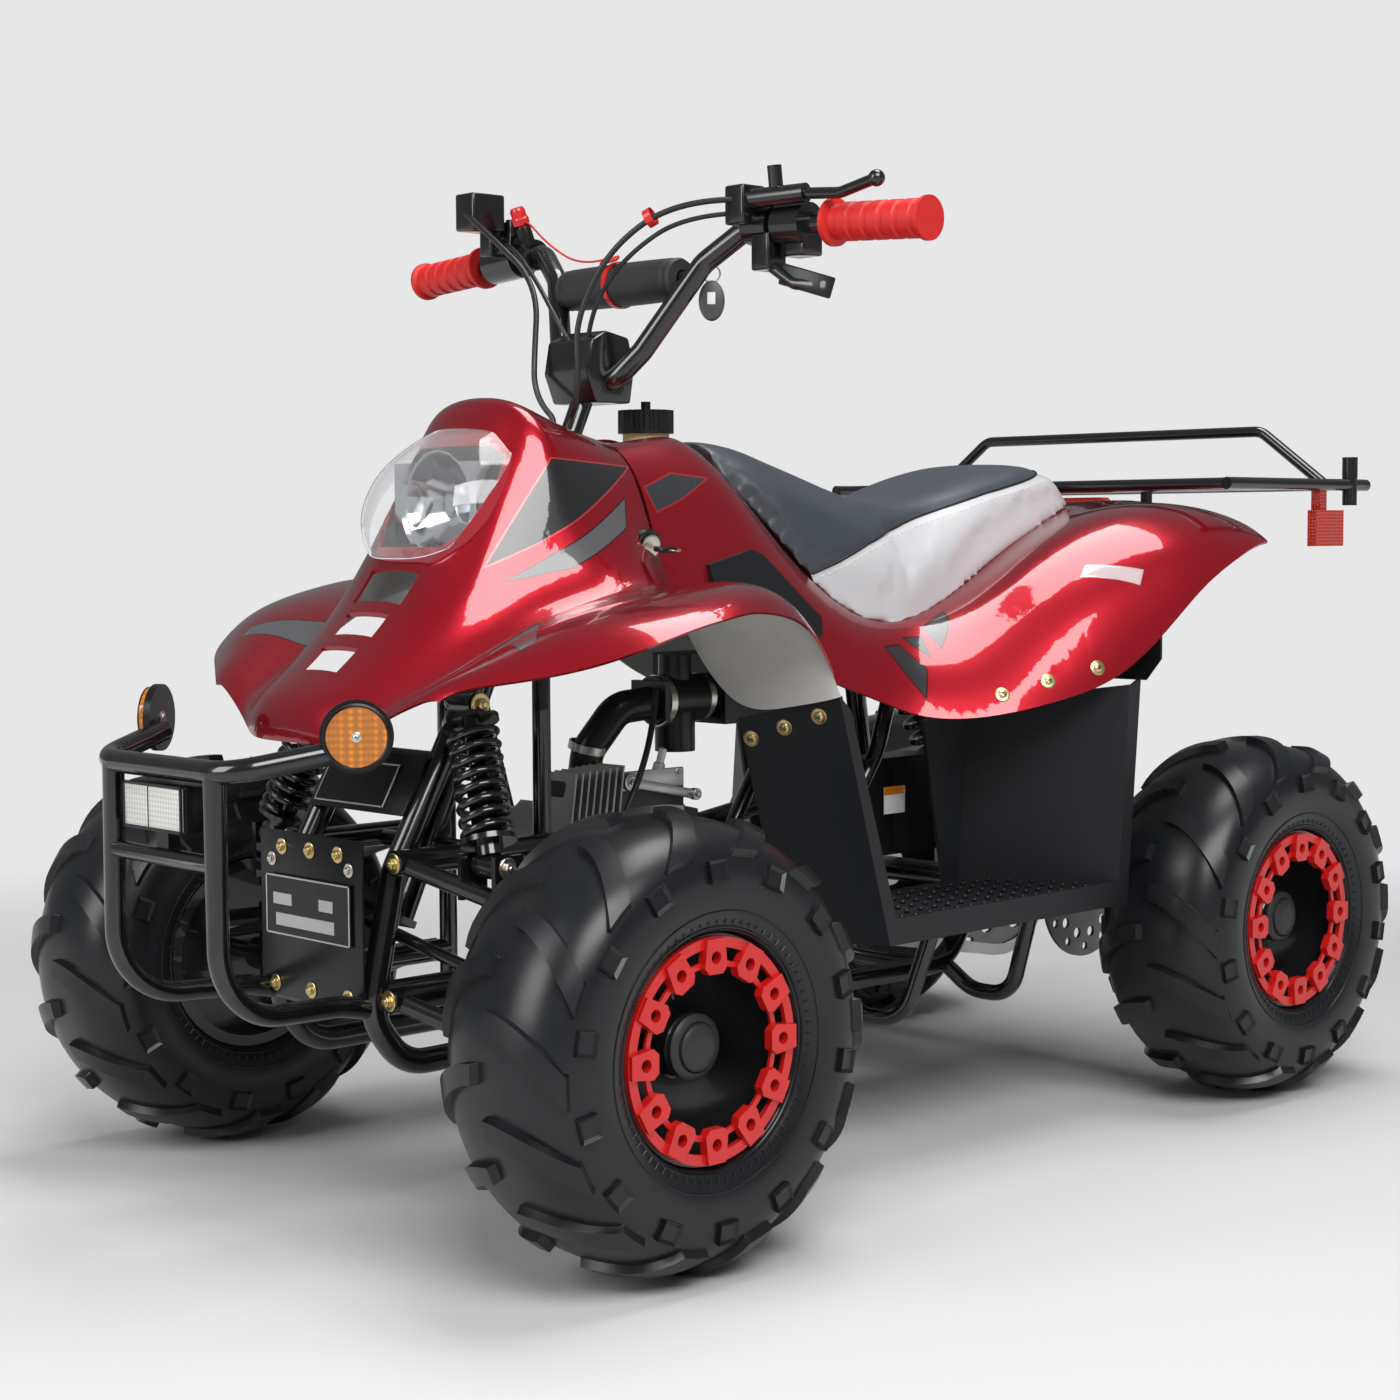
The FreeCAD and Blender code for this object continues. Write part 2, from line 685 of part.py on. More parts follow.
capBody = doc.addObject("PartDesign::Body", "fuel_cap")
located(capBody, (153, 0, 742))
capDisc = circleIn(sketchOn(capBody, "capDisc", "XY_Plane"), 0, 0, S.capRadius)
feature(capBody, "Pad", "capPad", capDisc, Length=S.capHeight)
ribSketch = circleIn(sketchOn(capBody, "ribSketch", "XY_Plane", 4), S.capRadius + 1.2, 0, 3)
ribCut = feature(capBody, "Pocket", "ribCut", ribSketch, Length=S.capHeight, Reversed=True)
around(capBody, "ribs", ribCut, ribSketch, S.capRibs)
knobSketch = circleIn(sketchOn(capBody, "knobSketch", "XY_Plane", S.capHeight), 0, 0, 5)
feature(capBody, "Pad", "knob", knobSketch, Length=9)
finished(capBody)

# Seat: padded top, its base trimmed to the deck below it

seatTop = [
    [(106, 0, 741), (106, 25, 740), (105, 46, 732), (104, 58, 718), (104, 62, 704)],
    [(70, 0, 744), (70, 30, 741), (70, 58, 727), (70, 80, 700), (70, 88, 650)],
    [(20, 0, 723), (20, 34, 721), (20, 68, 705), (20, 97, 664), (20, 107, 596)],
    [(-50, 0, 694), (-50, 38, 692), (-50, 78, 680), (-50, 108, 634), (-50, 119, 550)],
    [(-120, 0, 668), (-120, 42, 666), (-120, 86, 658), (-120, 114, 616), (-120, 123, 536)],
    [(-190, 0, 672), (-190, 44, 671), (-190, 90, 666), (-190, 116, 630), (-190, 124, 552)],
    [(-260, 0, 692), (-260, 46, 692), (-260, 92, 688), (-260, 117, 654), (-260, 123, 586)],
    [(-330, 0, 709), (-330, 46, 709), (-330, 92, 705), (-330, 116, 676), (-330, 121, 620)],
    [(-390, 0, 719), (-390, 44, 718), (-390, 86, 713), (-390, 110, 690), (-390, 116, 644)],
    [(-430, 0, 714), (-430, 38, 713), (-430, 72, 707), (-430, 94, 690), (-430, 102, 656)],
    [(-442, 0, 696), (-442, 36, 695), (-442, 66, 691), (-441, 84, 682), (-440, 92, 662)],
]
seatBase = []
for row in seatTop:
    seatBase.append([(x, y * 0.985, row[-1][2] - 6) for x, y, z in row])
seatBlank = closedSolid(mirroredRows(seatTop), mirroredRows(seatBase))
deckUp = offsetRows(mirroredRows(rearRows), S.skinThickness + S.seatGap)
deckFill = closedSolid(offsetRows(mirroredRows(rearRows), -34), deckUp)
seat = held("seat", biggest(seatBlank.cut([deckFill, rearBody.Shape])))
finished(seat)

# Knee panels, moulded to the waist and 6 mm proud of it

kneeOutline = [(188, 608), (128, 622), (112, 618), (40, 552), (44, 534), (66, 528), (120, 556), (188, 588)]
kneeBar = plate([(x, 60, z) for x, z in kneeOutline], (0, 120, 0))
kneeReach = S.skinThickness + S.seatGap + S.panelThickness
kneeShell = closedSolid(offsetRows(mirroredRows(rearRows), kneeReach), deckUp)
doc.recompute()
kneeLeft = held("kneeLeft", biggest(kneeBar.common(kneeShell).cut([seat.Shape, frontBody.Shape])))
finished(bothSides("knee_panels", kneeLeft))

# Footwells: floor with an edge strip, a front guard, a rear guard and an inner panel

wall = float(S.footwellWall)


def xInPlane(a, b, c, y, z):
    """X of the point with this y and z in the plane of three points."""
    normal = (V(*b) - V(*a)).cross(V(*c) - V(*a))
    return a[0] - (normal.y * (y - a[1]) + normal.z * (z - a[2])) / normal.x


def guard(a, b, c, y, z, push):
    return plate([a, b, c, (xInPlane(a, b, c, y, z), y, z)], push)


floorPlate = held("floorPlate", plate([(108, 300, 254), (-258, 300, 254), (-241, 146, 254), (108, 146, 254)],
                                      (0, 0, wall)))
edgeStrip = box("edgeStrip", -262, 106, 300 - S.footwellWall, 300, 236, 262)
frontGuard = held("frontGuard", guard((213, 196, 460), (180, 300, 484), (108, 300, 236), 196, 236, (-wall, 0, 0)))
frontFlange = held("frontFlange", plate([(178, 300 - wall, 483), (164, 300 - wall, 470), (92, 300 - wall, 240),
                                         (108, 300 - wall, 236)], (0, wall, 0)))
rearGuard = held("rearGuard", guard((-190, 146, 452), (-276, 300, 474), (-258, 300, 254), 146, 254, (-wall, 0, 0)))
rearFlange = held("rearFlange", plate([(-258, 300 - wall, 236), (-278, 300 - wall, 472), (-296, 300 - wall, 480),
                                       (-274, 300 - wall, 236)], (0, wall, 0)))
innerPanel = held("innerPanel", plate([(-116, 142, 436), (-190, 142, 448), (-240, 142, 254), (-150, 142, 254)],
                                      (0, wall, 0)))
footwellJoined = fused("footwellJoined", floorPlate, edgeStrip, frontGuard, frontFlange, rearGuard, rearFlange,
                       innerPanel)
doc.recompute()
footwellCut = footwellJoined.Shape.cut([wholeFrame, frontBody.Shape, rearBody.Shape])
footwellLeft = held("footwellLeft", biggest(footwellCut))
footwells = finished(bothSides("footwells", footwellLeft))

# Rear mud flaps, hung behind the guards under the fenders

flap = held("flap", plate([(-326, 240, 560), (-326, 306, 556), (-326, 306, 500), (-326, 286, 476),
                           (-326, 240, 476)], (3, 0, 0)))
doc.recompute()
flapCut = held("flapCut", biggest(flap.Shape.cut([rearBody.Shape, footwells.Shape])))
finished(bothSides("mud_flaps", flapCut))

# Front suspension arms: two legs to the ball end at the king pin

frontX = S.frontAxleX
pinY = S.kingpinY
knuckleRoom = cylinder("knuckleRoom", (frontX, pinY, 168), S.kingpinRadius + 3.4, 92)


def arm(name, innerZ, outerZ, frontEnd, rearEnd):
    """A-shaped arm between its pivot on the frame and the king pin."""
    pivot = S.pivotY
    return [
        bar(name + "Front", (frontEnd, pivot, innerZ), (frontX, pinY, outerZ), S.armTube),
        bar(name + "Rear", (rearEnd, pivot, innerZ), (frontX, pinY, outerZ), S.armTube),
        bar(name + "Pivot", (frontEnd + 8, pivot, innerZ), (rearEnd - 24, pivot, innerZ), S.armTube + 3),
        ball(name + "Ball", (frontX, pinY, outerZ), S.armBall),
    ]


upperPieces = arm("upper", S.upperPivotZ, 282, 545, 385) + [
    box("innerLug", 490, 520, 147, 152.6, 310, 352),
    box("outerLug", 482, 514, 188.4, 194, 297, 352),
    bar("lugPin", (500, 149, 341), (500, 193, 341), 6),
]
upperLeft = cut("upperLeft", fused("upperJoined", *upperPieces), frameTool, knuckleRoom)
upperArms = finished(bothSides("upper_arms", upperLeft))
lowerPieces = arm("lower", S.lowerPivotZ, 150, 552, 385)
lowerLeft = cut("lowerLeft", fused("lowerJoined", *lowerPieces), frameTool, knuckleRoom)
finished(bothSides("lower_arms", lowerLeft))

# Dampers with their two eyes across, and the coil springs between the cups


def damper(name, top, bottom, topBore, lowBore):
    top = V(*top)
    run = V(*bottom) - top
    span = run.Length
    body = doc.addObject("PartDesign::Body", name + "Turned")
    shaft = S.damperBody - 5
    cup = S.cupRadius
    revolved(body, name + "Turn", "XZ_Plane", "V_Axis", [
        (0, 5), (shaft, 5), (shaft, 14), (cup, 14), (cup, 19), (shaft, 19), (shaft, span * 0.5),
        (S.damperBody, span * 0.5), (S.damperBody, span - 26), (cup, span - 26), (cup, span - 21),
        (S.damperBody, span - 21), (S.damperBody, span - 9), (0, span - 9)])
    located(body, tuple(top), turnedTo(run))
    across = V(0, 15, 0)
    eyes = []
    bores = []
    for word, at, bore in (("Top", top, topBore), ("Low", top + run, lowBore)):
        eyes.append(bar(name + word + "Eye", tuple(at - across), tuple(at + across), 12))
        bores.append(bar(name + word + "Bore", tuple(at - across * 2), tuple(at + across * 2), bore))
    return cut(name, fused(name + "Joined", body, *eyes), *bores)


def coil(name, top, bottom, turns):
    """Round wire wound between the two cups of a damper."""
    run = V(*bottom) - V(*top)
    height = run.Length - 45.6 - 2 * S.springWire
    path = doc.addObject("Part::Helix", name + "Path")
    bind(path, "Radius", S.springRadius)
    bind(path, "Height", height)
    bind(path, "Pitch", height / turns)
    wire = doc.addObject("Part::Circle", name + "Wire")
    bind(wire, "Radius", S.springWire)
    located(wire, (S.springRadius, 0, 0), Turn(V(1, 0, 0), 90))
    wound = doc.addObject("Part::Sweep", name)
    wound.Sections = [wire]
    wound.Spine = (path, [])
    wound.Solid = True
    wound.Frenet = True
    start = V(*top) + run * ((19.3 + float(S.springWire)) / run.Length)
    return located(wound, tuple(start), turnedTo(run))


frontTop = (480, 115, 484)
frontLow = (500, 172, 341)
finished(bothSides("front_shocks", damper("frontDamper", frontTop, frontLow, 7.2, 6.2)))
finished(bothSides("front_springs", coil("frontCoil", frontTop, frontLow, S.springTurns)))
rearTop = (-255, 0, 470)
rearLow = (-400, 0, 204)
finished(damper("rear_shock", rearTop, rearLow, 9.2, 9.2))
finished(coil("rear_spring", rearTop, rearLow, S.springTurns + 4))

# Knuckles turn on the king pins and carry the stub axles

axleZ = S.axleHeight
reach = S.tieReach
side = S.tieSide
leverX = float(frontX + reach)
leverY = float(pinY + side)
lever = held("lever", plate([(float(frontX) - 6, float(pinY) - 12, 246), (float(frontX) - 6, float(pinY) + 12, 246),
                             (leverX, leverY + 11, 246), (leverX + 10, leverY, 246), (leverX, leverY - 11, 246)],
                            (0, 0, 8)))
knuckle = finished(fused("knuckle_left",
                         cylinder("post", (frontX, pinY, 169), S.kingpinRadius, 90),
                         cylinder("stub", (frontX, pinY, axleZ), S.stubRadius, S.stubLength, (0, 1, 0)),
                         cylinder("root", (frontX, pinY, axleZ), S.stubRadius + 8, 30, (0, 1, 0)),
                         lever))
finished(mirrored("knuckle_right", knuckle))

# Steering stem with its drop arm, and the tie rods under it

stemLow = V(*steerPoint(272))
stemTop = V(*steerPoint(778))
stem = bar("stem", tuple(stemLow), tuple(stemTop), S.stemRadius)
armEnd = stemLow + stemForward * float(reach)
halfSide = V(0, float(side), 0)
dropArm = held("dropArm", plate([
    tuple(stemLow - V(0, 14, 0) - stemForward * 8), tuple(stemLow + V(0, 14, 0) - stemForward * 8),
    tuple(armEnd + halfSide + V(0, 9, 0)), tuple(armEnd + halfSide + V(0, 6, 0) + stemForward * 9),
    tuple(armEnd - halfSide - V(0, 6, 0) + stemForward * 9), tuple(armEnd - halfSide - V(0, 9, 0))],
    tuple(steerAxis * -7)))
stemPiece = finished(fused("steering_stem", stem, dropArm))
tieInner = tuple(armEnd + halfSide - steerAxis * 16)
tieOuter = (frontX + reach, pinY + side, 232)
tie = finished(fused("tie_rod_left", bar("tieBar", tieInner, tieOuter, S.tieRadius),
                     ball("tieInnerEnd", tieInner, S.tieRadius + 3), ball("tieOuterEnd", tieOuter, S.tieRadius + 3)))
finished(mirrored("tie_rod_right", tie))

# Handlebar with its cross bar and pad, clamped in a pod on top of the stem

barEnd = V(145, float(S.barHalfWidth) - 1, 928)
halfPath = [(231, 38, 791), (214, 62, 820), (176, 112, 906), (156, 158, 940), tuple(barEnd)]
barPath = [(x, -y, z) for x, y, z in reversed(halfPath)] + halfPath
handlebar = finished(cut("handlebar", fused("barJoined", bent("barTubes", barPath, S.barTube, 34),
                                            bar("barBrace", (182, -103, 893), (182, 103, 893), 7)), stemPiece))
podBody = doc.addObject("PartDesign::Body", "podBody")
podSketch = polygonIn(sketchOn(podBody, "podSketch", "XZ_Plane"), [
    (204, 770), (250, 770), (262, 800), (256, 832), (236, 842), (206, 836), (198, 806)])
feature(podBody, "Pad", "podPad", podSketch, Length=68, Midplane=True)
finished(cut("bar_clamp", podBody, handlebar, stemPiece))
padHalf = S.padLength / 2
padOuter = bar("padOuter", (182, -padHalf, 893), (182, padHalf, 893), S.padRadius)
padBore = bar("padBore", (182, -padHalf - 5, 893), (182, padHalf + 5, 893), 7)
finished(cut("bar_pad", padOuter, padBore, handlebar))

# Ribbed grips, turned in one profile and slid over the bar ends

gripDir = barEnd - V(*halfPath[-2])
gripDir.normalize()
gripProfile = [(S.barTube, 0), (S.gripFlange, 0), (S.gripFlange, 5), (S.gripRadius, 7)]
ribPitch = (float(S.gripLength) - 24) / float(S.gripRibs)
for k in range(int(S.gripRibs)):
    at = 16 + ribPitch * k
    gripProfile += [(S.gripRadius, at), (S.gripRadius + 1.6, at + 2), (S.gripRadius + 1.6, at + ribPitch - 6),
                    (S.gripRadius, at + ribPitch - 4)]
gripProfile += [(S.gripRadius, S.gripLength - 6), (S.gripFlange - 2, S.gripLength - 4),
                (S.gripFlange - 2, S.gripLength), (0, S.gripLength), (0, S.gripLength - 1),
                (S.barTube, S.gripLength - 1)]
gripBody = doc.addObject("PartDesign::Body", "gripBody")
revolved(gripBody, "gripTurn", "XZ_Plane", "V_Axis", gripProfile)
located(gripBody, tuple(barEnd - gripDir * (float(S.gripLength) - 1)), turnedTo(gripDir))
grips = finished(bothSides("grips", gripBody))

# Hand controls: brake perch, lever and thumb throttle on the left, switch housing and reservoir on the right


def barAt(y):
    """Middle of the handlebar at a distance from the middle line."""
    a = V(*halfPath[-2])
    part = (abs(y) - a.y) / (barEnd.y - a.y)
    point = a + (barEnd - a) * part
    return (point.x, math.copysign(point.y, y), point.z)


leftControls = fused("leftControls",
                     bar("perchSleeve", barAt(160), barAt(192), S.barTube + 8),
                     box("perchBox", 160, 192, 158, 184, 938, 976),
                     bar("leverBody", (180, 172, 962), (166, 244, 963), 9.5),
                     bent("leverBlade", [(167, 236, 963), (168, 290, 958), (172, 340, 966)], 5.5, 30),
                     ball("leverEnd", (172, 340, 966), 8),
                     bar("adjuster", (170, 209, 960), (174, 209, 992), 7),
                     bar("switchSleeve", barAt(200), barAt(236), S.barTube + 9.5),
                     box("switchBox", 132, 160, 202, 234, 906, 932),
                     box("throttleBox", 146, 172, 174, 198, 894, 930),
                     bent("throttleArm", [(162, 186, 902), (152, 214, 880), (144, 246, 876)], 6, 12),
                     ball("throttleEnd", (144, 246, 876), 9))
rightControls = fused("rightControls",
                      bar("startSleeve", barAt(-196), barAt(-248), S.barTube + 9.5),
                      box("startBox", 136, 170, -246, -198, 938, 962),
                      box("reservoirArm", 158, 186, -232, -212, 940, 978),
                      box("reservoir", 170, 214, -238, -206, 966, 1006),
                      cylinder("killSwitch", (158, -206, 960), 9, 20))
finished(gathered("hand_controls", cut("leftControlsOpen", leftControls, handlebar, grips),
                  cut("rightControlsOpen", rightControls, handlebar, grips)))

# Cables from the controls down into the scuttle beside the stem


def besideStem(z, across):
    point = V(*steerPoint(z)) + stemForward * 12.5
    return (point.x, across, point.z)


cableRadius = float(S.cableRadius)
leftCable = tube([(190, 168, 962), (226, 124, 962), (258, 62, 918), (272, 28, 850), (272, 32, 800), (271, 26, 768),
                  besideStem(745, 9.2), besideStem(712, 9.2)], cableRadius, 14)
rightCable = tube([(212, -222, 984), (236, -150, 952), (238, -70, 896), (269, -40, 815), (271, -38, 790),
                   (271, -26, 768), besideStem(745, -9.2), besideStem(712, -9.2)], cableRadius, 14)
doc.recompute()
cableTools = [one.Shape for one in parts if one.Name in ("hand_controls", "handlebar", "bar_clamp", "bar_pad")]
cables = [held("leftCable", biggest(leftCable.cut(cableTools))), held("rightCable", biggest(rightCable.cut(cableTools)))]
finished(gathered("control_cables", *cables))

# Swingarm with the bearing carrier of the rear axle

rearX = S.rearAxleX
swingPieces = [
    cylinder("carrier", (rearX, -46, axleZ), S.shaftRadius + 13, 92, (0, 1, 0)),
    bar("swingPivot", (-262, -64, 190), (-262, 64, 190), 15),
    bar("swingLeft", (-262, 46, 190), (rearX, 32, axleZ), 11),
    bar("swingRight", (-262, -46, 190), (rearX, -32, axleZ), 11),
    bar("shockPinLow", (-400, -38, 204), (-400, 38, 204), 9),
]
shaftBore = cylinder("shaftBore", (rearX, -150, axleZ), S.shaftRadius + S.pinClearance, 300, (0, 1, 0))
finished(cut("swingarm", fused("swingJoined", *swingPieces), frameTool, shaftBore))

# Rear axle with its hub flanges, brake disc and chain wheel, turned about their own axis

halfAxle = S.rearWheelY - S.webDepth
axleBody = doc.addObject("PartDesign::Body", "rear_axle")
revolved(axleBody, "axleTurn", "XY_Plane", "V_Axis", [
    (0, -halfAxle), (46, -halfAxle), (46, 8 - halfAxle), (24, 8 - halfAxle), (24, 42 - halfAxle),
    (S.shaftRadius, 42 - halfAxle), (S.shaftRadius, halfAxle - 42), (24, halfAxle - 42), (24, halfAxle - 8),
    (46, halfAxle - 8), (46, halfAxle), (0, halfAxle)])
finished(located(axleBody, (rearX, 0, axleZ)))

discBody = doc.addObject("PartDesign::Body", "brake_disc")
revolved(discBody, "discTurn", "XY_Plane", "V_Axis", [
    (S.shaftRadius, -10), (26, -10), (26, 0), (S.discRadius, 0), (S.discRadius, 4), (S.shaftRadius, 4)])
discSketch = sketchOn(discBody, "discSketch", "XZ_Plane")
circleIn(discSketch, S.discRadius - 12, 0, 5)
circleIn(discSketch, S.discRadius * 0.62, 15, 6.5)
discCut = feature(discBody, "Pocket", "discCut", discSketch, Type="ThroughAll", Midplane=True)
around(discBody, "discPattern", discCut, discSketch, S.discHoles)
finished(located(discBody, (rearX, S.discY, axleZ)))

gearBody = doc.addObject("PartDesign::Body", "sprocket")
revolved(gearBody, "gearTurn", "XY_Plane", "V_Axis", [
    (S.shaftRadius, -14), (26, -14), (26, 0), (S.sprocketRadius, 0), (S.sprocketRadius, 5), (S.shaftRadius, 5)])
toothSketch = circleIn(sketchOn(gearBody, "toothSketch", "XZ_Plane"), S.sprocketRadius + 1, 0, 4.2)
toothCut = feature(gearBody, "Pocket", "toothCut", toothSketch, Type="ThroughAll", Midplane=True)
around(gearBody, "teeth", toothCut, toothSketch, S.sprocketTeeth)
windowSketch = circleIn(sketchOn(gearBody, "windowSketch", "XZ_Plane"), S.sprocketRadius * 0.62, 0, 15)
windowCut = feature(gearBody, "Pocket", "windowCut", windowSketch, Type="ThroughAll", Midplane=True)
around(gearBody, "windows", windowCut, windowSketch, 6)
finished(located(gearBody, (rearX, S.sprocketY, axleZ)))

# Chain: two rows of plates with rollers between them on the straight runs

driveAt = (float(S.driveX), float(S.driveZ))
rearAt = (float(rearX), float(axleZ))
pitchRear = float(S.sprocketRadius) - 2
pitchDrive = float(S.driveRadius)
chainSpan = math.hypot(driveAt[0] - rearAt[0], driveAt[1] - rearAt[1])
chainRise = math.atan2(driveAt[1] - rearAt[1], driveAt[0] - rearAt[0])
chainSplay = math.asin((pitchRear - pitchDrive) / chainSpan)


def chainLoop(offset, smallSteps, largeSteps):
    """Outline round both chain wheels at a distance from the pitch line."""
    points = []
    start = chainRise - math.pi / 2 + chainSplay
    end = chainRise + math.pi / 2 - chainSplay
    for k in range(smallSteps + 1):
        a = start + (end - start) * k / smallSteps
        r = pitchDrive + offset
        points.append((driveAt[0] + r * math.cos(a), driveAt[1] + r * math.sin(a)))
    for k in range(largeSteps + 1):
        a = end + (2 * math.pi - (end - start)) * k / largeSteps
        r = pitchRear + offset
        points.append((rearAt[0] + r * math.cos(a), rearAt[1] + r * math.sin(a)))
    return points


def chainWire(offset, y):
    flat = [V(x, y, z) for x, z in chainLoop(offset, 7, 14)]
    return Part.makePolygon(flat + [flat[0]])


def chainSide(y):
    depth = float(S.chainDepth)
    outline = Part.Face(chainWire(depth, y)).cut(Part.Face(chainWire(-depth, y)))
    return outline.Faces[0].extrude(V(0, float(S.chainPlate), 0))


plateNear = float(S.sprocketY) + 5 + 0.6
plateFar = float(S.sprocketY) - 0.6 - float(S.chainPlate)
loop = chainLoop(0, 7, 14)
rollers = []
for a, b in ((loop[7], loop[8]), (loop[-1], loop[0])):
    for k in range(1, 8):
        x = a[0] + (b[0] - a[0]) * k / 8
        z = a[1] + (b[1] - a[1]) * k / 8
        corners = []
        for n in range(6):
            turn = math.pi / 3 * n
            corners.append((x + 5 * math.cos(turn), plateFar + float(S.chainPlate), z + 5 * math.sin(turn)))
        rollers.append(plate(corners, (0, plateNear - plateFar - float(S.chainPlate), 0)))
chain = finished(held("chain", chainSide(plateNear).fuse(rollers + [chainSide(plateFar)])))

# Tyre: faceted carcass round the rim with two rows of slanting lugs

tyreProfile = [(60, float(S.beadRadius) + 0.1), (60, 99.5), (75, 112), (float(S.tyreHalfWidth), 140), (75, 170),
               (58, float(S.treadRadius) - 6), (0, float(S.treadRadius) - 2)]
tyreProfile += [(-a, b) for a, b in reversed(tyreProfile[:-1])]
facets = int(S.tyreFacets)


def onTyre(axial, radius, step):
    angle = 2 * math.pi * step / facets
    return V(radius * math.sin(angle), axial, -radius * math.cos(angle))


tyreFaces = []
for step in range(facets):
    for (a, b), (c, d) in zip(tyreProfile, tyreProfile[1:] + tyreProfile[:1]):
        corners = [onTyre(a, b, step), onTyre(c, d, step), onTyre(c, d, step + 1), onTyre(a, b, step + 1)]
        tyreFaces.append(Part.Face(Part.makePolygon(corners + [corners[0]])))
carcass = sewn(tyreFaces)
slant = 0.42
lugReach = slant * 25 + float(S.lugWidth) / 2
lugTop = math.sqrt(float(S.tyreRadius) ** 2 - lugReach ** 2)
lugProfile = [(6, 180), (6, lugTop), (56, lugTop), (78, 178), (72, 166)]
lugs = []
for row in (1, -1):
    corners = []
    for axial, radius in lugProfile:
        corners.append((slant * (axial - 31) - float(S.lugWidth) / 2, row * axial, -radius))
    lug = plate(corners, (float(S.lugWidth), 0, 0))
    for k in range(int(S.treadLugs)):
        one = lug.copy()
        first = math.degrees(math.atan2(lugReach, lugTop))
        one.rotate(V(0, 0, 0), V(0, 1, 0), first + 360.0 / float(S.treadLugs) * (k + (0 if row > 0 else 0.5)))
        lugs.append(one)
tyreShape = carcass.fuse(lugs)

# Rims turned in one profile, and the ring of raised blocks bolted to the outer lip


def rim(name, boreDepth):
    body = doc.addObject("PartDesign::Body", name)
    barrel = S.rimRadius - S.rimWall
    web = -S.webDepth
    face = web + S.webWall
    seat = S.rimHalfWidth - 3.6
    middle = [(0, web)]
    top = [(0, S.hubReach)]
    if boreDepth:
        bore = S.stubRadius + S.pinClearance
        middle = [(bore, web)]
        top = [(0, S.hubReach), (0, boreDepth), (bore, boreDepth)]
    revolved(body, name + "Turn", "XY_Plane", "V_Axis", middle + [
        (barrel, web), (barrel, -S.rimHalfWidth), (S.rimLip, -S.rimHalfWidth), (S.rimLip, -seat),
        (S.rimRadius, -seat), (S.rimRadius, seat), (S.rimLip, seat), (S.rimLip, S.rimHalfWidth),
        (barrel, S.rimHalfWidth), (barrel, face), (S.hubRadius + 12, face), (S.hubRadius, face + 8),
        (S.hubRadius, S.hubReach - 8), (S.hubRadius - 5, S.hubReach - 2)] + top)
    return body


def ring(name):
    body = doc.addObject("PartDesign::Body", name)
    seat = S.rimHalfWidth
    revolved(body, name + "Turn", "XY_Plane", "V_Axis", [
        (S.ringOuter - 9, seat), (S.ringOuter, seat), (S.ringOuter, seat + 5), (S.ringOuter - 9, seat + 5)])
    block = polygonIn(sketchOn(body, name + "Block", "XZ_Plane", -S.rimHalfWidth), [
        (-8, S.ringInner), (8, S.ringInner), (13, S.ringInner + 6), (10, S.ringOuter - 1),
        (-10, S.ringOuter - 1), (-13, S.ringInner + 6)])
    raised = feature(body, "Pad", name + "Raised", block, Length=S.ringDepth, Reversed=True)
    around(body, name + "Blocks", raised, block, S.ringBlocks)
    revolved(body, name + "Bridge", "XY_Plane", "V_Axis", [
        (S.ringInner + 6, seat), (S.ringInner + 11, seat), (S.ringInner + 11, seat + 3), (S.ringInner + 6, seat + 3)])
    hole = circleIn(sketchOn(body, name + "Hole", "XZ_Plane"), 0, S.ringInner + 14, S.ringHole)
    drilled = feature(body, "Pocket", name + "Drilled", hole, Type="ThroughAll", Midplane=True)
    around(body, name + "Holes", drilled, hole, S.ringBlocks)
    return body


frontPlace = (S.frontAxleX, S.frontWheelY, S.axleHeight)
rearPlace = (S.rearAxleX, S.rearWheelY, S.axleHeight)
stubEnd = pinY + S.stubLength - S.frontWheelY + 0.4
for kind, maker in (("tyre", held), ("rim", rim), ("ring", ring)):
    extra = {"tyre": tyreShape, "rim": stubEnd}.get(kind)
    given = () if extra is None else (extra,)
    left = finished(located(maker(kind + "_front_left", *given), frontPlace))
    finished(mirrored(kind + "_front_right", left))
    given = {"tyre": (tyreShape.copy(),), "rim": (0,), "ring": ()}[kind]
    rear = located(maker(kind + "RearLeft", *given), rearPlace)
    finished(bothSides("rear_" + kind + "s", rear))

# Engine: crankcase with its two side covers, finned barrel leaning forward, head, starter and drive wheel

caseBody = doc.addObject("PartDesign::Body", "caseBody")
caseSketch = polygonIn(sketchOn(caseBody, "caseSketch", "XZ_Plane"), [
    (18, 262), (30, 318), (90, 334), (168, 330), (200, 306), (206, 262), (188, 214), (150, 196), (60, 194), (28, 214)])
feature(caseBody, "Pad", "casePad", caseSketch, Length=S.caseHalfWidth * 2, Midplane=True)

half = S.caseHalfWidth
coverBody = doc.addObject("PartDesign::Body", "coverBody")
revolved(coverBody, "coverTurn", "XY_Plane", "V_Axis", [
    (0, half), (S.coverRadius, half), (S.coverRadius, half + 22), (S.coverRadius - 5, half + 27),
    (S.coverRadius - 18, half + 28), (S.coverRadius - 24, half + 33), (0, half + 34)])
located(coverBody, (92, 0, 258))
clutchCover = cylinder("clutchCover", (120, -half, 256), S.coverRadius - 8, 22, (0, -1, 0))
clutchBoss = cylinder("clutchBoss", (120, -half - 22, 256), S.coverRadius - 26, 8, (0, -1, 0))
driveShaft = cylinder("driveShaft", (S.driveX, 10 - half, S.driveZ), 8, 22 + 8, (0, -1, 0))
driveWheel = cylinder("driveWheel", (S.driveX, S.sprocketY + 5, S.driveZ), S.driveRadius - 4, 5, (0, -1, 0))
starter = cylinder("starter", (150, -30, 345), 17, 70, (0, 1, 0))
starterFoot = box("starterFoot", 138, 162, -20, 24, 322, 346)

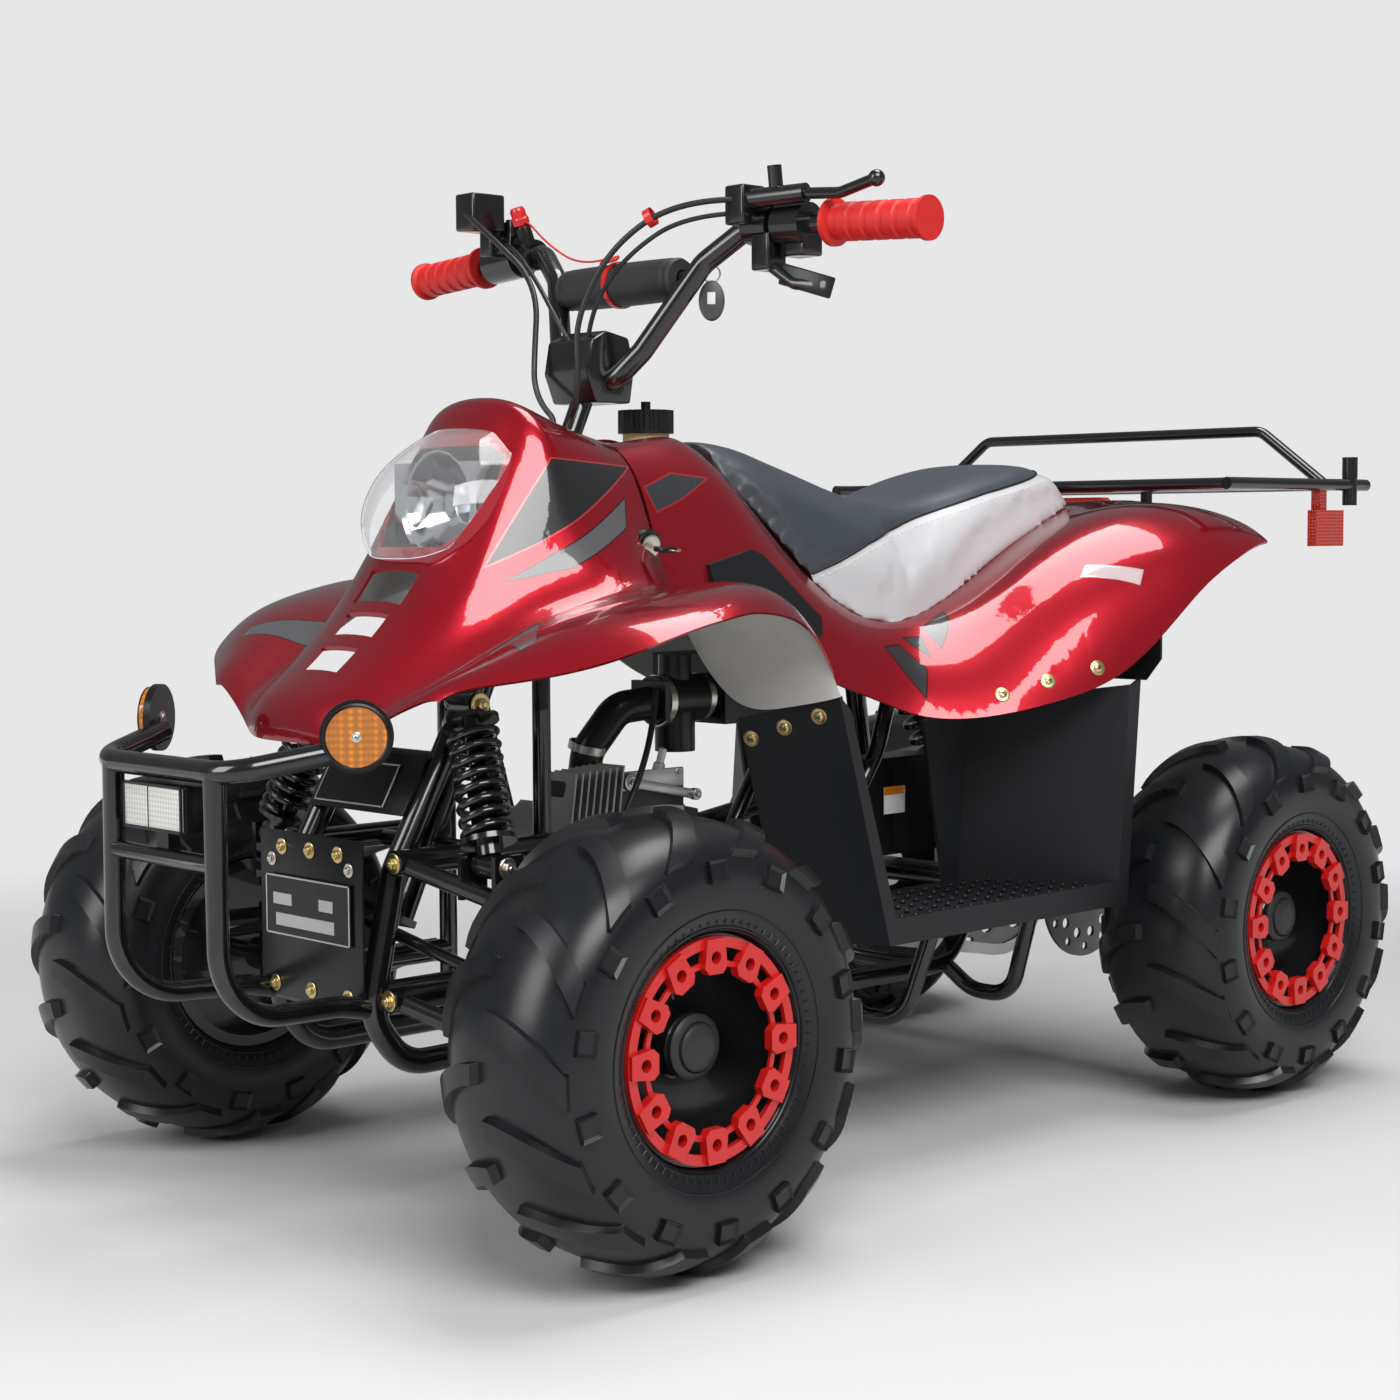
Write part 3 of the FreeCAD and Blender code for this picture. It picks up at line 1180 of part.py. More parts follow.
tilt = math.radians(S.barrelTilt)
barrelDir = V(math.cos(tilt), 0, math.sin(tilt))
barrelBody = doc.addObject("PartDesign::Body", "barrelBody")
core = circleIn(sketchOn(barrelBody, "core", "XY_Plane"), 0, 0, 34)
feature(barrelBody, "Pad", "corePad", core, Length=140)
wide = S.finWidth / 2


def square(name, lift, acrossX, acrossY):
    return polygonIn(sketchOn(barrelBody, name, "XY_Plane", lift), [
        (-acrossX, -acrossY + 8), (-acrossX + 8, -acrossY), (acrossX - 8, -acrossY), (acrossX, -acrossY + 8),
        (acrossX, acrossY - 8), (acrossX - 8, acrossY), (-acrossX + 8, acrossY), (-acrossX, acrossY - 8)])


finSketch = square("finSketch", 10, wide, wide)
fin = feature(barrelBody, "Pad", "fin", finSketch, Length=S.finThickness)
doc.recompute()
finRow = barrelBody.newObject("PartDesign::LinearPattern", "finRow")
finRow.Originals = [fin]
finRow.Direction = (finSketch, ["N_Axis"])
bind(finRow, "Length", S.finPitch * (S.finCount - 1))
bind(finRow, "Occurrences", S.finCount)
barrelBody.Tip = finRow
headSketch = square("headSketch", 10 + S.finPitch * S.finCount, wide - 7, wide - 2)
feature(barrelBody, "Pad", "headPad", headSketch, Length=32)
capSketch = square("capSketch", 42 + S.finPitch * S.finCount, wide - 18, wide - 14)
feature(barrelBody, "Pad", "capPadHigh", capSketch, Length=14)
located(barrelBody, (190, 0, 302), turnedTo(barrelDir))
engine = cut("engine", fused("engineJoined", caseBody, coverBody, clutchCover, clutchBoss, driveShaft, driveWheel,
                             starter, starterFoot, barrelBody), frameTool)
finished(engine)

# Intake: manifold, carburettor with its float bowl, and the air box under the seat

manifold = bent("manifold", [(262, 18, 362), (256, 22, 420), (222, 30, 462), (168, 34, 466)], 17, 30)
intakeJoined = fused("intakeJoined", manifold,
                     cylinder("throat", (178, 34, 468), 25, 62, (-1, 0, 0)),
                     cylinder("floatBowl", (146, 34, 414), 21, 60),
                     box("throatFlange", 176, 183, 8, 60, 448, 488),
                     cylinder("slideTop", (146, 34, 488), 17, 26),
                     cylinder("airPipe", (120, 34, 470), 22, 26, (-1, 0, 0)),
                     box("airBox", -70, 100, -50, 62, 440, 512))
intake = finished(cut("intake", intakeJoined, engine, frameTool, rearBody))

batteryCase = box("batteryCase", -204, -94, 46, 88, 284, 380)
batteryLid = box("batteryLid", -207, -91, 43, 91, 380, 392)
batteryRib = box("batteryRib", -170, -128, 88, 91, 290, 380)
finished(cut("battery_box", fused("batteryJoined", batteryCase, batteryLid, batteryRib), frameTool))

# Exhaust: pipe from the head under the right side to the muffler

pipe = bent("pipe", [(286, -22, 296), (284, -34, 246), (250, -112, 228), (60, -122, 296), (-180, -122, 330),
                     (-310, -142, 366)], float(S.pipeRadius), 26)
mufflerBody = doc.addObject("PartDesign::Body", "mufflerBody")
revolved(mufflerBody, "mufflerTurn", "XZ_Plane", "V_Axis", [
    (0, 0), (S.mufflerRadius - 22, 0), (S.mufflerRadius, 20), (S.mufflerRadius, S.mufflerLength - 12),
    (S.mufflerRadius - 5, S.mufflerLength), (14, S.mufflerLength), (14, S.mufflerLength + 16), (10, S.mufflerLength + 16),
    (10, S.mufflerLength - 8), (0, S.mufflerLength - 8)])
located(mufflerBody, (-291, -143, 364), turnedTo((-1, 0, 0.12)))
finished(cut("exhaust", fused("exhaustJoined", pipe, mufflerBody), engine, frameTool, footwells))

# Ignition lock on the side of the scuttle

lock = fused("lock", cylinder("lockBarrel", (262, 96, 632), 11, 30, (0, 1, -0.15)),
             cylinder("lockCollar", (262, 116, 629), 15, 8, (0, 1, -0.15)))
doc.recompute()
finished(held("key_switch", biggest(lock.Shape.cut([frontBody.Shape, wholeFrame, rearBody.Shape]))))

# Rear rack: two side rails with their pegs, four cross tubes, raised hoop and two struts

rackX = (-460, -540, -594, -708)
rackHalf = S.rackHalfWidth
rackHalfPieces = [
    bar("rackRail", (-453, rackHalf, S.rackZ), (-743, rackHalf, S.rackZ), S.rackTube),
    cylinder("railPeg", (-708, rackHalf, S.rackZ + S.rackTube + 1), S.pegRadius, S.pegHeight),
    cylinder("railSocket", (-708, rackHalf, S.rackZ - 24), S.pegRadius - 0.5, 24 + S.rackTube + 1),
    bar("rackStrut", (-594, S.railY + 13, 646), (-594, S.railY + 13, 694), S.rackTube),
]
rackCross = []
for k, x in enumerate(rackX):
    rackCross.append(bar("rackCross%d" % k, (x, -rackHalf, S.rackZ), (x, rackHalf, S.rackZ), S.rackTube - 0.5))
hoopPath = [(-653, -299, 693), (-653, -212, 757), (-653, 212, 757), (-653, 299, 693)]
hoop = bent("hoop", hoopPath, float(S.rackTube) - 0.5, 26)
rackLeft = fused("rackLeft", *rackHalfPieces)
rackJoined = fused("rackJoined", rackLeft, mirrored("rackRight", rackLeft), hoop, *rackCross)
rack = finished(cut("rear_rack", rackJoined, frameTool, rearBody, seat))

tailOutline = [(-58, 648), (-50, 640), (50, 640), (58, 648), (58, 672), (50, 680), (-50, 680), (-58, 672)]
tailBlock = held("tailBlock", plate([(-568, y, z) for y, z in tailOutline], (22, 0, 0)))
finished(cut("tail_light", tailBlock, rack, frameTool, rearBody))
redGlass = box("redGlass", -676, -618, 300, 312, 620, 662)
redArm = box("redArm", -655, -641, 290, 302, 640, 686)
redLeft = cut("redLeft", fused("redJoined", redGlass, redArm), rack)
finished(bothSides("rear_reflectors", redLeft))

doc.recompute()
for item in doc.Objects:
    if "Invalid" in item.State or "Error" in item.State:
        raise ValueError("object not well made: " + item.Label)
for item in parts:
    if item.Shape.isNull() or not item.Shape.isValid() or not item.Shape.Solids:
        raise ValueError("shape not sound: " + item.Label)
for item in parts:
    item.Shape.exportStep("parts/%s.step" % item.Label)
    reach = item.Shape.BoundBox
    print(item.Label, len(item.Shape.Solids), [round(v) for v in
          (reach.XMin, reach.XMax, reach.YMin, reach.YMax, reach.ZMin, reach.ZMax)])
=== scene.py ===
import json
import math

import bmesh
import bpy
from mathutils import Matrix, Vector
from mathutils.bvhtree import BVHTree


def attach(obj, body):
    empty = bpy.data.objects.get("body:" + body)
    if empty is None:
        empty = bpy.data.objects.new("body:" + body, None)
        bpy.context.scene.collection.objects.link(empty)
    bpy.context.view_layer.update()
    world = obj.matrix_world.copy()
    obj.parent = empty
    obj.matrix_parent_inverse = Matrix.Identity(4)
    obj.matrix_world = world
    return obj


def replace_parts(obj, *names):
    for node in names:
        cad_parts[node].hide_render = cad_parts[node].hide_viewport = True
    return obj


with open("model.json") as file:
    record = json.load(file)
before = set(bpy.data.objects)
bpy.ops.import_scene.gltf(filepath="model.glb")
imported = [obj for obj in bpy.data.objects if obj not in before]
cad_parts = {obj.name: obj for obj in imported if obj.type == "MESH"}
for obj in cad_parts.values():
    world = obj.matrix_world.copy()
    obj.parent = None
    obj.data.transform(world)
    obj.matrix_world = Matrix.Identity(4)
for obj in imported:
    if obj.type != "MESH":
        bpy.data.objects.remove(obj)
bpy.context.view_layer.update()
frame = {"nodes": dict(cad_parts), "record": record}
nodes = frame["nodes"]
bodyOf = {}
for bodyName, members in frame["record"]["behaviour"]["bodies"].items():
    for member in members:
        bodyOf[member] = bodyName
print("frame loaded")

# Places that several pieces share: the wheels' centres and the bar pad's middle

axleHeight = 0.203
wheelPlaces = {"left": [(0.457, 0.345)], "right": [(0.457, -0.345)],
               "rear": [(-0.493, 0.305), (-0.493, -0.305)]}
padPlace = Vector((0.182, 0, 0.893))

# Small tools


def linked(name, data):
    piece = bpy.data.objects.new(name, data)
    bpy.context.scene.collection.objects.link(piece)
    return piece


def at(place):
    return Matrix.Translation(place)


def turned(degrees, axis):
    return Matrix.Rotation(math.radians(degrees), 4, axis)


def aimed(place, direction, spin=0.0):
    turn = Vector(direction).to_track_quat("Z", "Y").to_matrix().to_4x4()
    return at(place) @ turn @ Matrix.Rotation(spin, 4, "Z")


def sided(place, side):
    return Vector((place[0], side * place[1], place[2]))


# Axes of a turned piece as a matrix
def framed(*axes):
    return Matrix(axes).transposed().to_4x4()


# The angles of a whole turn in equal steps, both ends included
def wholeTurn(count):
    return [math.tau * k / count for k in range(count + 1)]


def blended(table, x):
    for (x0, z0), (x1, z1) in zip(table, table[1:]):
        if x1 <= x <= x0:
            return z0 + (z1 - z0) * (x0 - x) / (x0 - x1)
    return None


# Normals recalculated, smoothed by angle, linked and riding on its body
def finishedMesh(name, bm, body, *materials, angle=35):
    bmesh.ops.recalc_face_normals(bm, faces=bm.faces)
    limit = math.radians(angle)
    for face in bm.faces:
        face.smooth = True
    for edge in bm.edges:
        edge.smooth = edge.is_manifold and edge.calc_face_angle(0) < limit
    mesh = takenMesh(name, bm)
    for material in materials:
        mesh.materials.append(material)
    piece = linked(name, mesh)
    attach(piece, body)
    return piece


def takenMesh(name, bm):
    mesh = bpy.data.meshes.new(name)
    bm.to_mesh(mesh)
    bm.free()
    return mesh


def joinInto(bm, made, index=0):
    for face in made.faces:
        face.material_index = index
    mesh = takenMesh("part", made)
    bm.from_mesh(mesh)
    bpy.data.meshes.remove(mesh)


# A (radius, height) profile turned about Z and put in place
def lathe(bm, profile, matrix, steps=32, index=0):
    made = bmesh.new()
    verts = [made.verts.new((r, 0, z)) for r, z in profile]
    edges = [made.edges.new(pair) for pair in zip(verts, verts[1:])]
    bmesh.ops.spin(made, geom=verts + edges, cent=(0, 0, 0), axis=(0, 0, 1), dvec=(0, 0, 0),
                   angle=math.tau, steps=steps, use_merge=True)
    bmesh.ops.remove_doubles(made, verts=made.verts, dist=0.000005)
    bmesh.ops.transform(made, matrix=matrix, verts=made.verts)
    joinInto(bm, made, index)


def bevelled(bm, edges, offset, segments, clamp=True):
    bmesh.ops.bevel(bm, geom=edges, offset=offset, segments=segments, profile=0.5, affect="EDGES",
                    clamp_overlap=clamp, material=-1)


def prism(bm, matrix, radius, height, sides, bevel, index=0):
    made = bmesh.new()
    bmesh.ops.create_cone(made, cap_ends=True, segments=sides, radius1=radius, radius2=radius, depth=height)
    bmesh.ops.translate(made, vec=(0, 0, height / 2), verts=made.verts)
    bevelled(made, made.edges[:], bevel, 2)
    bmesh.ops.transform(made, matrix=matrix, verts=made.verts)
    joinInto(bm, made, index)


def slab(bm, matrix, size, bevel=0.001, index=0, segments=2):
    made = bmesh.new()
    bmesh.ops.create_cube(made, size=1)
    bmesh.ops.scale(made, vec=size, verts=made.verts)
    bevelled(made, made.edges[:], bevel, segments)
    bmesh.ops.transform(made, matrix=matrix, verts=made.verts)
    joinInto(bm, made, index)


# A round rod through the points, its rings carried along without twist
def tubeAlong(bm, points, radius, sides=8, index=0):
    made = bmesh.new()
    rings = []
    for i, point in enumerate(points):
        ahead = (points[min(i + 1, len(points) - 1)] - points[max(i - 1, 0)]).normalized()
        across = ahead.orthogonal() if i == 0 else across - ahead * across.dot(ahead)
        across.normalize()
        other = ahead.cross(across)
        rings.append([made.verts.new(point + (across * math.cos(t) + other * math.sin(t)) * radius)
                      for t in wholeTurn(sides)[:-1]])
    for a, b in zip(rings, rings[1:]):
        for k in range(sides):
            made.faces.new((a[k], a[(k + 1) % sides], b[(k + 1) % sides], b[k]))
    made.faces.new(rings[0])
    made.faces.new(reversed(rings[-1]))
    joinInto(bm, made, index)


def routeCurve(name, points, resolution):
    data = bpy.data.curves.new(name, "CURVE")
    data.dimensions = "3D"
    data.resolution_u = resolution
    spline = data.splines.new("NURBS")
    spline.points.add(len(points) - 1)
    for point, place in zip(spline.points, points):
        point.co = (*place, 1)
    spline.order_u = 3
    spline.use_endpoint_u = True
    return data


def bakedMesh(piece):
    bpy.context.view_layer.update()
    return bpy.data.meshes.new_from_object(piece.evaluated_get(bpy.context.evaluated_depsgraph_get()))


def routeLength(points):
    data = routeCurve("measure", points, 24)
    piece = linked("measure", data)
    mesh = bakedMesh(piece)
    spots = [v.co for v in mesh.vertices]
    total = sum((spots[a] - spots[b]).length for a, b in (e.vertices for e in mesh.edges))
    bpy.data.objects.remove(piece)
    bpy.data.curves.remove(data)
    bpy.data.meshes.remove(mesh)
    return round(total, 4)


def merged(name):
    bm = bmesh.new()
    bm.from_mesh(nodes[name].data)
    bmesh.ops.remove_doubles(bm, verts=bm.verts, dist=0.00002)
    return bm


def treeOf(bm):
    tree = BVHTree.FromBMesh(bm)
    bm.free()
    return tree


cadTrees = {}


# Where a line first meets a CAD piece, and the normal that faces the line's start
def onto(name, start, direction):
    if name not in cadTrees:
        cadTrees[name] = treeOf(merged(name))
    way = Vector(direction)
    place, normal, face, far = cadTrees[name].ray_cast(Vector(start), way.normalized())
    if place is None:
        return None
    return place, -normal if normal.dot(way) > 0 else normal


# Camera, at the photograph's viewing angle

cameraSet = {"place": (1.864, 1.880, 0.640), "yaw": -133.54, "pitch": -3.94, "roll": -0.29, "lens": 62.68}


def makeCamera():
    yaw, pitch, roll = [math.radians(cameraSet[word]) for word in ("yaw", "pitch", "roll")]
    ahead = Vector((math.cos(pitch) * math.cos(yaw), math.cos(pitch) * math.sin(yaw), math.sin(pitch)))
    right = ahead.cross(Vector((0, 0, 1))).normalized()
    up = right.cross(ahead)
    turnedRight = right * math.cos(roll) + up * math.sin(roll)
    turnedUp = up * math.cos(roll) - right * math.sin(roll)
    data = bpy.data.cameras.new("camera")
    data.lens = cameraSet["lens"]
    data.sensor_width = 36
    data.clip_start = 0.05
    data.clip_end = 60
    camera = linked("camera", data)
    camera.matrix_world = at(cameraSet["place"]) @ framed(turnedRight, turnedUp, -ahead)
    bpy.context.scene.camera = camera


makeCamera()

# Shader nodes: an input takes a value or another node's output


def feed(tree, node, inputs):
    for socket, value in inputs.items():
        if isinstance(value, bpy.types.NodeSocket):
            tree.links.new(value, node.inputs[socket])
        else:
            node.inputs[socket].default_value = value


def addNode(tree, kind, inputs, **settings):
    node = tree.nodes.new("ShaderNode" + kind)
    for word, value in settings.items():
        setattr(node, word, value)
    feed(tree, node, inputs)
    return node


def objectPlace(tree):
    return addNode(tree, "TexCoord", {}).outputs["Object"]


def noise(tree, place, scale, detail=2.0):
    return addNode(tree, "TexNoise", {"Vector": place, "Scale": scale, "Detail": detail}).outputs["Fac"]


def worked(tree, operation, *values):
    return addNode(tree, "Math", dict(enumerate(values)), operation=operation).outputs[0]


def mixed(tree, factor, first, second, kind="RGBA"):
    return addNode(tree, "Mix", {"Factor": factor, "A": first, "B": second}, data_type=kind).outputs["Result"]


def stepped(tree, value, start, end):
    return addNode(tree, "MapRange", {"Value": value, "From Min": start, "From Max": end}).outputs["Result"]


def ranged(tree, value, low, high):
    return addNode(tree, "MapRange", {"Value": value, "To Min": low, "To Max": high}).outputs["Result"]


def raised(tree, height, strength, depth):
    inputs = {"Height": height, "Strength": strength, "Distance": depth}
    return addNode(tree, "Bump", inputs).outputs["Normal"]


def newMaterial(name):
    material = bpy.data.materials.new(name)
    material.use_nodes = True
    tree = material.node_tree
    return material, tree, tree.nodes["Principled BSDF"]


# Unevenness that most finishes share: fine height, cloudy roughness and a slow change of colour
def grainGroup():
    group = bpy.data.node_groups.new("grain", "ShaderNodeTree")
    sockets = {"OUTPUT": ("Roughness", "Height", "Color"),
               "INPUT": ("Fine Scale", "Coarse Scale", "Base Roughness", "Spread", "First Color",
                         "Second Color")}
    for way, words in sockets.items():
        for word in words:
            kind = "NodeSocketColor" if "Color" in word else "NodeSocketFloat"
            group.interface.new_socket(word, in_out=way, socket_type=kind)
    given = group.nodes.new("NodeGroupInput").outputs
    place = objectPlace(group)
    fine = noise(group, place, given["Fine Scale"], 3)
    coarse = noise(group, place, given["Coarse Scale"], 4)
    cloudy = worked(group, "MULTIPLY_ADD", worked(group, "SUBTRACT", coarse, 0.5), given["Spread"],
                    given["Base Roughness"])
    tint = mixed(group, coarse, given["First Color"], given["Second Color"])
    feed(group, group.nodes.new("NodeGroupOutput"), {"Roughness": cloudy, "Height": fine, "Color": tint})
    return group


grain = grainGroup()


def grained(tree, first, second, roughness, spread, fine, coarse):
    values = {"Fine Scale": fine, "Coarse Scale": coarse, "Base Roughness": roughness, "Spread": spread,
              "First Color": (*first, 1), "Second Color": (*second, 1)}
    return addNode(tree, "Group", values, node_tree=grain).outputs


def surfaced(name, color, metallic=0.0, roughness=0.4, spread=0.1, fine=900.0, coarse=30.0, bump=0.1,
             depth=0.0002, coat=0.0, second=None, shine=0.5):
    material, tree, shader = newMaterial(name)
    uneven = grained(tree, color, second or [v * 0.8 for v in color], roughness, spread, fine, coarse)
    feed(tree, shader, {"Base Color": uneven["Color"], "Roughness": uneven["Roughness"], "Metallic": metallic,
                        "Normal": raised(tree, uneven["Height"], bump, depth), "Specular IOR Level": shine,
                        "Coat Weight": coat, "Coat Roughness": 0.03})
    return material


black = surfaced("blackGloss", (0.006, 0.006, 0.007), roughness=0.2, fine=260, bump=0.06, coat=0.6)
darkPlastic = surfaced("darkPlastic", (0.009, 0.010, 0.012), roughness=0.42, fine=1400, bump=0.35, shine=0.36)
blackPlastic = surfaced("blackPlastic", (0.006, 0.0063, 0.007), roughness=0.3, fine=1600, bump=0.25,
                        shine=0.36)
rubber = surfaced("rubber", (0.0045, 0.005, 0.006), roughness=0.31, spread=0.24, fine=700, coarse=18,
                  bump=0.22, depth=0.0003, second=(0.010, 0.011, 0.013), shine=0.42)
glossPlastic = surfaced("glossPlastic", (0.006, 0.0063, 0.007), roughness=0.24, bump=0.12, coat=0.5)
cordRubber = surfaced("cordRubber", (0.012, 0.012, 0.012))
gripRubber = surfaced("gripRubber", (0.62, 0.012, 0.010), roughness=0.5, fine=1200, bump=0.3)
padCloth = surfaced("padCloth", (0.014, 0.014, 0.015), roughness=0.55, fine=1500, coarse=40, bump=0.5,
                    depth=0.0003, second=(0.020, 0.020, 0.021))
rimPaint = surfaced("rimPaint", (0.012, 0.012, 0.013), roughness=0.3, fine=300, bump=0.05, coat=0.5)
ringPlastic = surfaced("ringPlastic", (0.66, 0.012, 0.010), roughness=0.34, fine=1500, bump=0.12, coat=0.25)
redPlastic = surfaced("redPlastic", (0.60, 0.012, 0.014), roughness=0.3, coat=0.3)
fobPlastic = surfaced("fobPlastic", (0.055, 0.056, 0.058), roughness=0.38, bump=0.15)
tankPlastic = surfaced("tankPlastic", (0.55, 0.43, 0.23), roughness=0.45, fine=700, bump=0.15)
paleLabel = surfaced("paleLabel", (0.72, 0.72, 0.70), fine=300, bump=0.05)
innerSkin = surfaced("innerSkin", (0.60, 0.58, 0.55), roughness=0.55, fine=500, bump=0.15)
zinc = surfaced("zinc", (0.78, 0.74, 0.66), 1.0, roughness=0.3, spread=0.25, fine=500)
brassZinc = surfaced("brassZinc", (0.75, 0.60, 0.30), 1.0, roughness=0.32, spread=0.25, fine=500)
steel = surfaced("steel", (0.52, 0.52, 0.51), 1.0, roughness=0.34, spread=0.2, fine=600, bump=0.15)
darkSteel = surfaced("darkSteel", (0.20, 0.20, 0.205), 0.95, roughness=0.36, spread=0.2, fine=600, bump=0.15)
castAlloy = surfaced("castAlloy", (0.55, 0.54, 0.52), 0.9, roughness=0.48, spread=0.15, fine=500, bump=0.5,
                     depth=0.0004)
darkEngine = surfaced("darkEngine", (0.035, 0.035, 0.036), 0.3, roughness=0.45, fine=500, bump=0.4,
                      depth=0.0003)
lampChrome = surfaced("lampChrome", (0.40, 0.41, 0.43), 1.0, roughness=0.15, spread=0.05, fine=60,
                      bump=0.03)
silverPlate = surfaced("silverPlate", (0.62, 0.62, 0.60), 0.7, roughness=0.36, fine=300, bump=0.08)


# Moulded lens: small square prisms with painted shade darker towards their edges, and a painted glow from
# weak emission
def lensMaterial(name, color, cells, paintedGlow, shadow):
    material, tree, shader = newMaterial(name)
    prisms = addNode(tree, "TexVoronoi", {"Vector": objectPlace(tree), "Scale": cells, "Randomness": 0.0})
    across = prisms.outputs["Distance"]
    shade = mixed(tree, stepped(tree, across, 0.0, 0.55), (*color, 1), (*[v * shadow for v in color], 1))
    feed(tree, shader, {"Base Color": shade, "Normal": raised(tree, across, 0.5, 0.002), "Roughness": 0.16,
                        "Coat Weight": 1.0, "Emission Color": (*color, 1), "Emission Strength": paintedGlow})
    return material


# The emission strength of each lens is a painted glow, and its shadow factor sets the painted shade at the
# prism edges
amberLens = lensMaterial("amberLens", (0.76, 0.235, 0.006), cells=170, paintedGlow=0.09, shadow=0.42)
redLens = lensMaterial("redLens", (0.66, 0.030, 0.012), cells=260, paintedGlow=0.10, shadow=0.45)
paleLens = lensMaterial("paleLens", (0.72, 0.71, 0.67), cells=230, paintedGlow=0.05, shadow=0.65)

clearLens, lensTree, lensShader = newMaterial("clearLens")
feed(lensTree, lensShader, {"Base Color": (0.97, 0.98, 0.99, 1), "Roughness": 0.02, "IOR": 1.12,
                            "Transmission Weight": 0.96, "Coat Weight": 0.6})
print("materials made")

# Candy paint with its printed stripes, drawn over the side and top views

paintSet = {"facing": (0.36, 0.0006, 0.010, 1), "grazing": (0.12, 0.0002, 0.004, 1), "metal": 0.55,
            "shine": 0.22, "border": (0.0, 0.0004), "print": (0.0014, 0.0018), "roughness": (0.22, 0.34),
            "flakes": 2200, "ripple": 150}
darkPrint = (0.02, 0.02, 0.022)
darkBorder = (0.04, 0.0, 0.0)
stripes = [
    ("xz", [(0.366, 0.712), (0.225, 0.704), (0.318, 0.662), (0.392, 0.630), (0.455, 0.597)],
     (0.012, 0.012, 0.013), (0.55, 0.06, 0.07)),
    ("xz", [(0.274, 0.676), (0.288, 0.644), (0.369, 0.606), (0.440, 0.592)],
     (0.085, 0.085, 0.09), (0.05, 0.01, 0.01)),
    ("xz", [(0.244, 0.685), (0.203, 0.700), (0.140, 0.694), (0.200, 0.672), (0.236, 0.655)],
     (0.03, 0.031, 0.034), (0.50, 0.03, 0.03)),
    ("xy", [(0.476, 0.136), (0.420, 0.147), (0.490, 0.228), (0.507, 0.223)],
     (0.07, 0.07, 0.075), (0.05, 0.01, 0.01)),
    ("xz", [(-0.115, 0.536), (-0.158, 0.554), (-0.113, 0.512)], darkPrint, darkBorder),
    ("xz", [(-0.084, 0.527), (-0.108, 0.528), (-0.098, 0.503)], darkPrint, darkBorder),
    ("xz", [(-0.052, 0.519), (-0.074, 0.520), (-0.088, 0.495), (-0.070, 0.462)], darkPrint, darkBorder),
    ("xy", [(-0.262, 0.243), (-0.275, 0.240), (-0.322, 0.284), (-0.310, 0.288)], (0.50, 0.40, 0.41),
     (0.55, 0.45, 0.46)),
]


# Distance inside a convex outline, positive inside
def stripeMask(tree, place, plane, outline):
    corners = [Vector(c) for c in outline]
    middle = sum(corners, Vector((0, 0))) / len(corners)
    inside = None
    for a, b in zip(corners, corners[1:] + corners[:1]):
        run = (b - a).normalized()
        across = Vector((-run.y, run.x))
        if across.dot(middle - a) < 0:
            across = -across
        way = (across.x, 0, across.y) if plane == "xz" else (across.x, across.y, 0)
        reach = addNode(tree, "VectorMath", {0: place, 1: way}, operation="DOT_PRODUCT").outputs["Value"]
        depth = worked(tree, "SUBTRACT", reach, across.dot(a))
        inside = depth if inside is None else worked(tree, "MINIMUM", inside, depth)
    return inside


def paintMaterial():
    s = paintSet
    material, tree, shader = newMaterial("candyRed")
    place = objectPlace(tree)
    apart = addNode(tree, "SeparateXYZ", {0: place}).outputs
    leftSide = {"X": apart["X"], "Y": worked(tree, "ABSOLUTE", apart["Y"]), "Z": apart["Z"]}
    folded = addNode(tree, "CombineXYZ", leftSide).outputs[0]
    facing = addNode(tree, "LayerWeight", {"Blend": 0.35}).outputs["Facing"]
    color = mixed(tree, facing, s["facing"], s["grazing"])
    covered = None
    for plane, outline, fill, border in stripes:
        inside = stripeMask(tree, folded, plane, outline)
        color = mixed(tree, stepped(tree, inside, *s["border"]), color, (*border, 1))
        printed = stepped(tree, inside, *s["print"])
        color = mixed(tree, printed, color, (*fill, 1))
        covered = printed if covered is None else worked(tree, "MAXIMUM", covered, printed)
    feed(tree, shader, {"Base Color": color, "Specular IOR Level": s["shine"],
                        "Metallic": ranged(tree, covered, s["metal"], 0.0),
                        "Roughness": ranged(tree, noise(tree, place, s["flakes"]), *s["roughness"]),
                        "Coat Normal": raised(tree, noise(tree, place, s["ripple"]), 0.04, 0.001),
                        "Coat Weight": 1.0, "Coat Roughness": 0.03})
    return material


paint = paintMaterial()

# CAD pieces whose shape is right: a merged, smoothed copy with its own finish


def dressed(name, *materials, angle=38, choose=None):
    bm = merged(name)
    for face in bm.faces:
        face.material_index = 0
    if choose:
        choose(bm)
    piece = finishedMesh(name + "Skin", bm, bodyOf[name], *materials, angle=angle)
    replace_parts(piece, name)


# Of a moulding's two large smooth sides the lower, inner one stays bare
def splitSides(bm, crease=0.7):
    bm.faces.ensure_lookup_table()
    bmesh.ops.recalc_face_normals(bm, faces=bm.faces)
    seen = set()
    regions = []
    for start in bm.faces:
        if start.index in seen:
            continue
        seen.add(start.index)
        stack = [start]
        region = []
        while stack:
            face = stack.pop()
            region.append(face)
            for edge in face.edges:
                if len(edge.link_faces) != 2 or edge.calc_face_angle(0) > crease:
                    continue
                for other in edge.link_faces:
                    if other.index not in seen:
                        seen.add(other.index)
                        stack.append(other)
        regions.append((sum(f.calc_area() for f in region), region))
    largest = sorted(regions, key=lambda pair: -pair[0])[:2]
    heights = [sum(f.calc_center_median().z * f.calc_area() for f in region) / area
               for area, region in largest]
    for face in largest[heights.index(min(heights))][1]:
        face.material_index = 1


